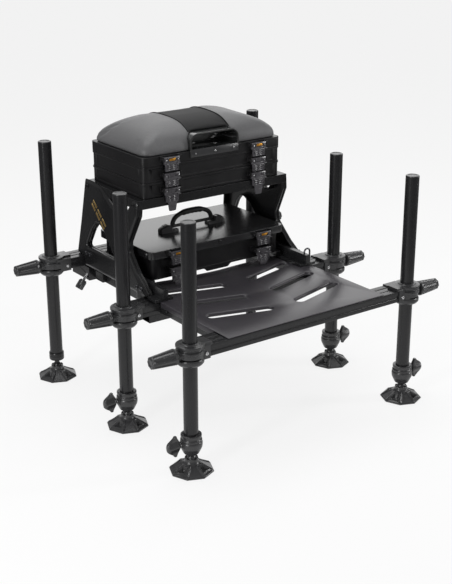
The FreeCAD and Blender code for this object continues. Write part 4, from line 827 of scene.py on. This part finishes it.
def footplate_shape():
    shape = bmesh.new()

    def loop_at(points, drop=0):
        return [shape.verts.new((x, y, PLATE_Z - drop)) for x, y in points]

    def rolled(loop, steps):
        for points, drop in steps:
            lower = loop_at(points, drop)
            band(shape, loop, lower)
            loop = lower

    outer = loop_at(plate_outline(1.6))
    holes = [loop_at(stadium(*slot, 17.5)) for slot in SLOTS]
    filled(shape, [outer, *holes])
    for hole, slot in zip(holes, SLOTS):
        rolled(hole, [(stadium(*slot, radius), drop) for radius, drop in SLOT_ROLL])
    rolled(outer, [(plate_outline(inset), drop) for inset, drop in ((0.7, 0.35), (0.15, 1), (0, 2))])
    return shape


plate = cast("footplate_sheet", footplate_shape(), plate_coat, "chassis", ["footplate"],
             50)
if sum(face.normal.z * face.area for face in plate.data.polygons) < 0:
    plate.data.flip_normals()
gauge = plate.modifiers.new("Gauge", "SOLIDIFY")
gauge.thickness = 2.2 * MM
gauge.offset = -1
gauge.use_even_offset = True
rear_line = [(-204, 60), (-102, 46), (0, 41), (102, 46), (204, 60)]
lip_path = []
for (x0, y0), (x1, y1) in zip(rear_line, rear_line[1:]):
    lip_path += [(x0 + (x1 - x0) * k / 12, y0 + (y1 - y0) * soft(k / 12), PLATE_Z + 3) for k in range(12)]
lip_path.append((204, 60, PLATE_Z + 3))


def lip_shape():
    rings = []
    for x, y, z in lip_path:
        top = z - 2.5 * soft((abs(x) - 196) / 8)
        rings.append([(x, y - 2, z - 5), (x, y - 2, top + 1.2), (x, y - 1.5, top + 2.4),
                      (x, y - 0.4, top + 3), (x, y + 0.8, top + 2.4), (x, y + 1.5, top + 1.2),
                      (x, y + 1.6, z - 5)])
    return skin(rings)


hems = [block(side * 250.5 - 1.5, side * 250.5 + 1.5, -302.5, -64, 315, 328.5, 1.2) for side in (-1, 1)]
cast("footplate_edges", joined(lip_shape(), *hems), plate_coat, "chassis", (), 50)
print("footplate", len(plate.data.polygons), "faces")

# %% [markdown]
# ## Latches
# A latch is a lever on a pin: a head with a raised frame and two screws, and a tail with three wavy ribs.
# The top row carries a plain coloured inlay. The bottom row ends in a tapered tab.

# %% Latches
EYELET = [(3.9, 0), (3.9, 1.6), (3.4, 2.1), (2.6, 2.1), (2.2, 1.4), (1, 1.4)]
SCREW_APART = 18.4


def wave(z, half=15):
    return piped([(x, -5, z + 1.3 * math.cos(math.pi * x / 7.5)) for x in range(-half, half + 1)], 1.55, 8)


def lever_shape(tab):
    pieces = [
        block(-24, 24, -4.4, 2, -13.4, 4.2, 1.4), block(-19.5, 19.5, -4.0, 1.8, -33.4, -12, 1.2),
        wave(-18.8), wave(-24.2), wave(-29.6, 13),
        aimed(turned([(1.5, -29), (1.5, 29)], 16), (1, 0, 0), (0, 0, 0)),
    ]
    for low in (1.4, -9.4):
        pieces.append(block(-12.8, 12.8, -7.0, -4, low, low + 2.2, 0.8))
    for side in (-1, 1):
        pieces.append(block(side * 11.9 - 1.1, side * 11.9 + 1.1, -7.0, -4, -9, 3.2, 0.8))
        pieces.append(block(side * 19.6 - 5.2, side * 19.6 + 5.2, -7.2, -3.4, -14.8, -12.4, 0.8))
        pieces.append(block(side * 17.6 - 1.0, side * 17.6 + 1.0, -5.4, -3.4, -31, -16, 0.7))
        pieces.append(aimed(turned(EYELET, 20), (0, -1, 0), (side * SCREW_APART, -4.2, -3.4)))
    if tab:
        rings = []
        for share in (0, 0.3, 0.6, 0.85, 0.96, 1.0):
            z = -31 - (tab + 3) * share
            half = 14.5 - 4.5 * share - (2.2 if share == 1 else 0)
            thick = 4.8 - 1.2 * share
            rings.append([(-half, -thick + 0.8, z), (-half + 0.8, -thick, z), (half - 0.8, -thick, z),
                          (half, -thick + 0.8, z), (half, -0.4, z), (-half, -0.4, z)])
        pieces.append(skin(rings))
        pieces.append(block(-8, 8, -5.4, -3, -36 - tab * 0.35, -34 - tab * 0.35, 0.6))
    return joined(*pieces)


ROWS = {
    "seat_latches_top": (142, 41.5, 673.7, 0, True),
    "seat_latches_middle": (142, 41.5, 631.7, 0, False),
    "seat_latches_bottom": (142, 41.5, 590.8, 24, False),
    "box_latches_top": (143, 16, 424.3, 0, True),
    "box_latches_bottom": (143, 16, 378, 11, False),
}
for name, (x, y, z, tab, inlay) in ROWS.items():
    levers = [shifted(lever_shape(tab), side * x, y, z) for side in (-1, 1)]
    cast("levers_" + name, joined(*levers), latch_moulding, name, [name], 40)
    pins = [aimed(socket_screw(2.0, 1.4), (0, -1, 0), (side * x + across, y - 5.2, z - 3.4))
            for side in (-1, 1) for across in (-SCREW_APART, SCREW_APART)]
    cast("lever_screws_" + name, joined(*pins), screw_steel, name, (), 30)
    if inlay:
        inlays = [shifted(block(-9.6, 9.6, -6.0, -4.6, -5.4, 0.4, 0.6), side * x, y, z) for side in (-1, 1)]
        cast("inlays_" + name, joined(*inlays), badge_orange, name)
print("five rows of latches")

# %% [markdown]
# ## Carrying handle
# The handle is a soft arch with finger bumps under its grip. It hinges in two chunky wedge-shaped brackets.

# %% Handle
HANDLE_Y = 160
PIVOT_HIGH = 446
LID_TOP = 432.8
GRIP_HALF = 40


def arch_path():
    half = [(66, PIVOT_HIGH), (63.5, 458), (56, 469), (42, 476.5), (22, 480.2)]
    corners = [(-x, z) for x, z in half] + [(0, 481)] + list(reversed(half))
    path = []
    for k in range(len(corners) - 1):
        p0, p1 = Vector(corners[max(k - 1, 0)]), Vector(corners[k])
        p2, p3 = Vector(corners[k + 1]), Vector(corners[min(k + 2, len(corners) - 1)])
        for step in range(6):
            t = step / 6
            point = 0.5 * ((2 * p1) + (p2 - p0) * t + (2 * p0 - 5 * p1 + 4 * p2 - p3) * t ** 2
                           + (3 * p1 - p0 - 3 * p2 + p3) * t ** 3)
            path.append((point.x, HANDLE_Y, point.y))
    path.append((66, HANDLE_Y, PIVOT_HIGH))
    return [Vector(point) for point in path]


def handle_shape():
    path = arch_path()
    rings = []
    for k, place in enumerate(path):
        run = (path[min(k + 1, len(path) - 1)] - path[max(k - 1, 0)]).normalized()
        out = Vector((-run.z, 0, run.x))
        inside = GRIP_HALF - abs(place.x)
        thick = 6.4 + 2.0 * soft(inside / 14)
        bumps = 1.7 * soft(inside / 6) * (0.5 + 0.5 * math.cos(2 * math.pi * place.x / 14))
        ring = []
        for angle in angles(20):
            rise = math.sin(angle)
            radius = thick - (1.4 - bumps if rise < 0 and inside > 0 else 0) * abs(min(rise, 0))
            ring.append(place + out * rise * radius + Vector((0, math.cos(angle) * thick * 1.04, 0)))
        rings.append(ring)
    return skin(rings)


pivots = aimed(turned([(4.4, -87), (4.4, 87)], 20), (1, 0, 0), (0, HANDLE_Y, PIVOT_HIGH))
cast("handle_arch", joined(handle_shape(), pivots), soft_rubber, "case_handle", ["box_handle"],
     60)


BRACKET = [(52, 12.6, 6), (53, 13.6, 7.2), (57, 14, 7.8), (72.6, 14, 8.4), (74.6, 14, 19),
           (75.8, 13.8, 20.4), (84, 13.6, 20.4), (93, 13, 18.6), (106, 10.6, 12.6), (107.4, 9.6, 11.4),
           (108, 8.4, 9.6)]


def bracket_shape():
    rings = []
    for x, depth, height in BRACKET:
        half = [(depth, 0), (depth, height * 0.35), (depth - 1.2, height - 1), (depth - 3.4, height)]
        outline = [(-y, z) for y, z in half] + half[::-1]
        rings.append([(x, HANDLE_Y + y, LID_TOP + z) for y, z in outline])
    ribs = [block(x, x + 1.8, 151, 169, 448, 453.9 - (x - 84) * 0.22, 0.6) for x in (83, 88, 93)]
    return joined(skin(rings), *ribs)


left_bracket = bracket_shape()
bmesh.ops.scale(left_bracket, vec=(-1, 1, 1), verts=left_bracket.verts)
cast("handle_feet", joined(bracket_shape(), left_bracket), moulding, "case_lid", ["handle_brackets"],
     24)
print("handle")

# %% [markdown]
# ## Cushion
# The pad starts as the measured cushion, drawn in a little. It is remeshed into even squares and inflated as
# cloth, with its base and the edge of the recess held, so that the skin pulls tight between them.

# %% Cushion
def baked(piece):
    """Replace a piece's mesh with what its modifiers make of it."""
    graph = bpy.context.evaluated_depsgraph_get()
    mesh = bpy.data.meshes.new_from_object(piece.evaluated_get(graph))
    piece.modifiers.clear()
    piece.data = mesh


SEAT_BASE = 682 * MM
MIDDLE_Y = 184 * MM
SHRINK = 0.985
VOXEL = 5 * MM
PUFF = 5 * MM
CLOTH_STEPS = 20
cushion = bpy.data.objects.new("cushion", NODES["seat_cushion"].data.copy())
bpy.context.scene.collection.objects.link(cushion)
for vertex in cushion.data.vertices:
    vertex.co.x *= SHRINK
    vertex.co.y = MIDDLE_Y + (vertex.co.y - MIDDLE_Y) * SHRINK
    vertex.co.z = SEAT_BASE + (vertex.co.z - SEAT_BASE) * SHRINK
remesh = cushion.modifiers.new("Even", "REMESH")
remesh.mode = "VOXEL"
remesh.voxel_size = VOXEL
baked(cushion)


def held(point):
    """Whether a point of the pad stays where it is: the base, and the inside of the recess."""
    low = point.z < SEAT_BASE + 5 * MM
    inside = abs(point.x) < 84 * MM and point.y < 112 * MM and point.z < 730 * MM
    return low or inside


start = [vertex.co.copy() for vertex in cushion.data.vertices]
sewn = cushion.vertex_groups.new(name="sewn")
sewn.add([k for k, point in enumerate(start) if held(point)], 1.0, "REPLACE")
cloth = cushion.modifiers.new("Cloth", "CLOTH")
foam = cloth.settings
foam.quality = 6
foam.mass = 0.3
foam.tension_stiffness = 12
foam.compression_stiffness = 12
foam.bending_stiffness = 0.4
foam.use_pressure = True
foam.uniform_pressure_force = 4
foam.vertex_group_mass = "sewn"
foam.effector_weights.gravity = 0
cloth.point_cache.frame_start = 1
cloth.point_cache.frame_end = CLOTH_STEPS
for step in range(1, CLOTH_STEPS + 1):
    bpy.context.scene.frame_set(step)
graph = bpy.context.evaluated_depsgraph_get()
puffed = [vertex.co.copy() for vertex in cushion.evaluated_get(graph).data.vertices]
cushion.modifiers.clear()
for vertex, before, after in zip(cushion.data.vertices, start, puffed):
    push = after - before
    if push.length > PUFF:
        push *= PUFF / push.length
    vertex.co = before + push
bpy.context.scene.frame_set(1)
furthest = max((a - b).length for a, b in zip(puffed, start))
print("cushion puffed by at most", round(furthest / MM, 1), "mm")

# %% [markdown]
# A dark centre panel runs over the pad from the back to the recess, between two lines of piping.
# The panel is the same skin in another material, so only the piping stands on it. A ray dropped on the
# pad finds where each point of the piping lies.

# %% Panel and piping
PANEL_REAR = 68
PANEL_FRONT = 66


def panel_half(y):
    """Half the panel's width at a distance from the front, in millimetres."""
    return PANEL_FRONT + (PANEL_REAR - PANEL_FRONT) * soft((y - 60) / 200)


smooth_skin = cushion.modifiers.new("Skin", "SUBSURF")
smooth_skin.levels = 1
smooth_skin.render_levels = 1
baked(cushion)
cushion.data.materials.clear()
cushion.data.materials.append(leather)
cushion.data.materials.append(panel)
for face in cushion.data.polygons:
    centre = face.center / MM
    if abs(centre.x) < panel_half(centre.y) and centre.z > 700:
        face.material_index = 1
cushion.data.shade_smooth()
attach(cushion, "seat_lid")
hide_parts("seat_cushion")

tree = BVHTree.FromObject(cushion, bpy.context.evaluated_depsgraph_get())


def on_pad(x, y, lift=0.0):
    """The place on the pad under a point, in millimetres, or None beside it."""
    hit, normal, _, _ = tree.ray_cast(Vector((x, y, 900)) * MM, Vector((0, 0, -1)))
    if hit is None or hit.z < SEAT_BASE + 8 * MM:
        return None
    return hit / MM + normal * lift


for side, name in ((-1, "left"), (1, "right")):
    path = []
    for y in range(66, 314, 3):
        place = on_pad(side * panel_half(y), y, 0.4)
        if place is not None:
            path.append(place)
    cast("piping_" + name, piped(path, 1.7, 10), panel, "seat_lid", (), 60)
print("cushion", len(cushion.data.polygons), "faces")

# %% [markdown]
# ## Recess at the seat's front
# A glossy hood lines the recess and stands a little in front of the pad. A rubber bead runs round its
# mouth, two ledges sit inside, and a strip with three bright screws holds it to the lid.

# %% Recess
def arch_line(half, low, top, corner, steps=8):
    """Half outline of the recess in X and Z, from the left foot over the top to the right foot."""
    left = [(-half, low), (-half, (low + top - corner) / 2)]
    for k in range(steps + 1):
        angle = math.pi - math.pi / 2 * k / steps
        left.append((-half + corner + corner * math.cos(angle), top - corner + corner * math.sin(angle)))
    left.append((-half / 3, top))
    return left + [(-x, z) for x, z in reversed(left)]


def hood_shape():
    outer = arch_line(77.6, 682.4, 725.6, 24)
    inner = arch_line(74.4, 682.4, 722.4, 21)
    rings = []
    for (ox, oz), (ix, iz) in zip(outer, inner):
        rings.append([(ox, 46, oz), (ox, 108, oz), (ix, 105, iz), (ix, 46, iz)])
    wall = block(-76, 76, 104.6, 107.8, 682.4, 724, 0.5)
    floor = block(-76, 76, 46.5, 107, 682.2, 685, 0.5)
    return joined(skin(rings), wall, floor)


cast("recess_hood", hood_shape(), hood_gloss, "seat_lid", ["handle_plate"], 50)
mouth = [(x, 46.4, z) for x, z in arch_line(76.4, 683, 724.4, 22.6)]
cast("recess_bead", piped(mouth, 2.7, 12), soft_rubber, "seat_lid", (), 60)
ledges = [block(side * 68 - 8, side * 68 + 8, 52, 100, 699, 703, 1.0) for side in (-1, 1)]
strip = block(-78, 78, 44.9, 48.2, 664, 685, 1.0)
cast("recess_strip", joined(strip, *ledges), moulding, "seat_lid", (), 45)
heads = [aimed(socket_screw(2.4, 1.6), (0, -1, 0), (x, 45.2, 674)) for x in (-62, 0, 62)]
cast("strip_screws", joined(*heads), screw_steel, "seat_lid", (), 30)

# %% [markdown]
# ## Small things on the boxes
# The lower lid has a boss in its skirt, its tray a lip below the front, and the rear corner a tilted screw.

# %% Small things
boss = turned([(5, 0), (5, 1.4), (4.2, 2.0), (2.4, 2.0), (2.0, 1.4), (0.6, 1.4)], 24)
cast("lid_boss", aimed(boss, (0, -1, 0), (0, 24.4, 424)), box_shell, "case_lid", ())
LIP_HALF = 46
lip_rings = []
for x in range(-LIP_HALF, LIP_HALF + 1, 4):
    low = 352 - 9 * soft((LIP_HALF - abs(x)) / 12)
    lip_rings.append([(x, 35.2, 353), (x, 35.2, low), (x, 36.6, low - 1), (x, 38.4, low), (x, 38.4, 353)])
cast("tray_lip", skin(lip_rings), box_shell, "case", ())

TILT = math.radians(38)
SCREW_WAY = Vector((-math.sin(TILT), 0, -math.cos(TILT)))
SCREW_AT = Vector((-264, 306, 300))
cap = turned([(5.4, -7.6), (5.4, 7.6), (4.2, 7.8), (3.6, 7.0), (1, 7.0)], 28)
wing = joined(block(-13.4, 13.4, -6.4, 6.4, 16.5, 42.8, 3.0, 3),
              turned([(9, 14.2), (9, 30), (8, 33), (5, 34)], 32), aimed(cap, (0, -1, 0), (0, 0, 32)))
cast("corner_wing", aimed(wing, SCREW_WAY, SCREW_AT), moulding, "rail_knob", ["rail_knob"],
     45)
cast("corner_stud", aimed(screw_thread(4, -10, 17), SCREW_WAY, SCREW_AT), screw_steel, "rail_knob")

# %% [markdown]
# ## Floor, world and lamps
# The floor is pale and catches a soft shadow. In reflections only the floor near the object is bright, so
# the lower tubes shine and the upper ones stay dark. The world is white to the camera and grey elsewhere.

# %% Studio
def floor_recipe(graph):
    return {"Base Color": (0.86, 0.86, 0.86, 1), "Roughness": 0.9, "Specular IOR Level": 0.1}


floor_shape = bmesh.new()
bmesh.ops.create_grid(floor_shape, x_segments=1, y_segments=1, size=60)
floor_mesh = bpy.data.meshes.new("floor")
floor_shape.to_mesh(floor_mesh)
floor_shape.free()
floor = bpy.data.objects.new("floor", floor_mesh)
floor.location.z = -0.0005
floor_finish = material("floor_paint", floor_recipe)
floor_tree = floor_finish.node_tree
graph = Wire(floor_tree)
paint = Wire(floor_tree, floor_tree.nodes["Principled BSDF"].outputs[0])
seen = graph.node("ShaderNodeLightPath", out="Is Camera Ray")
mirrored = graph.node("ShaderNodeLightPath", out="Is Glossy Ray")
from_middle = graph.node("ShaderNodeVectorMath", {"operation": "LENGTH"}, {0: along(graph)}, out=1)
near = steep(graph, from_middle, 1.55, 1.05)
glow = graph.node("ShaderNodeEmission", sockets={"Strength": 1.0})
dim = graph.node("ShaderNodeEmission", sockets={"Strength": near * 0.62 + 0.11})
pale = graph.node("ShaderNodeMixShader", sockets={0: seen * 0.8, 1: paint, 2: glow})
both = graph.node("ShaderNodeMixShader", sockets={0: mirrored * 0.95, 1: pale, 2: dim})
floor_tree.links.new(both.socket, floor_tree.nodes["Material Output"].inputs["Surface"])
floor_mesh.materials.append(floor_finish)
bpy.context.scene.collection.objects.link(floor)

world = bpy.data.worlds.new("Studio")
bpy.context.scene.world = world
world.use_nodes = True
world.node_tree.nodes.clear()
sky = Wire(world.node_tree)
white = sky.node("ShaderNodeLightPath", out="Is Camera Ray")
shine = sky.node("ShaderNodeLightPath", out="Is Glossy Ray")
STUDIO_GREY = 0.5
heading = sky.node("ShaderNodeTexCoord", out="Generated")
REAR_WALL = Vector((0.56, 0.77, 0.31)).normalized()
towards = sky.node("ShaderNodeVectorMath", {"operation": "DOT_PRODUCT"}, {0: heading, 1: REAR_WALL}, out=1)
wall = steep(sky, towards, 0.80, 0.93)
mirror = wall * 1.25 + 0.26
strength = white + (1 - white) * (shine * mirror + (1 - shine) * STUDIO_GREY)
backdrop = sky.node("ShaderNodeBackground", sockets={"Color": (1, 1, 1, 1), "Strength": strength})
sky.node("ShaderNodeOutputWorld", sockets={"Surface": backdrop})


def soft_box(name, place, aim, wide, high, power):
    lamp_data = bpy.data.lights.new(name, "AREA")
    lamp_data.shape = "RECTANGLE"
    lamp_data.size = wide
    lamp_data.size_y = high
    lamp_data.energy = power
    lamp = bpy.data.objects.new(name, lamp_data)
    lamp.location = place
    lamp.rotation_euler = (Vector(aim) - Vector(place)).to_track_quat("-Z", "Y").to_euler()
    lamp.visible_camera = False
    bpy.context.scene.collection.objects.link(lamp)


soft_box("left_box", (-2.6, -0.9, 1.2), (0, 0, 0.4), 0.35, 1.9, 30)
soft_box("right_box", (2.4, -1.5, 1.3), (0, 0, 0.4), 0.4, 1.9, 26)
soft_box("top_box", (0.2, 0.6, 2.8), (0, 0, 0.4), 2.4, 1.6, 34)
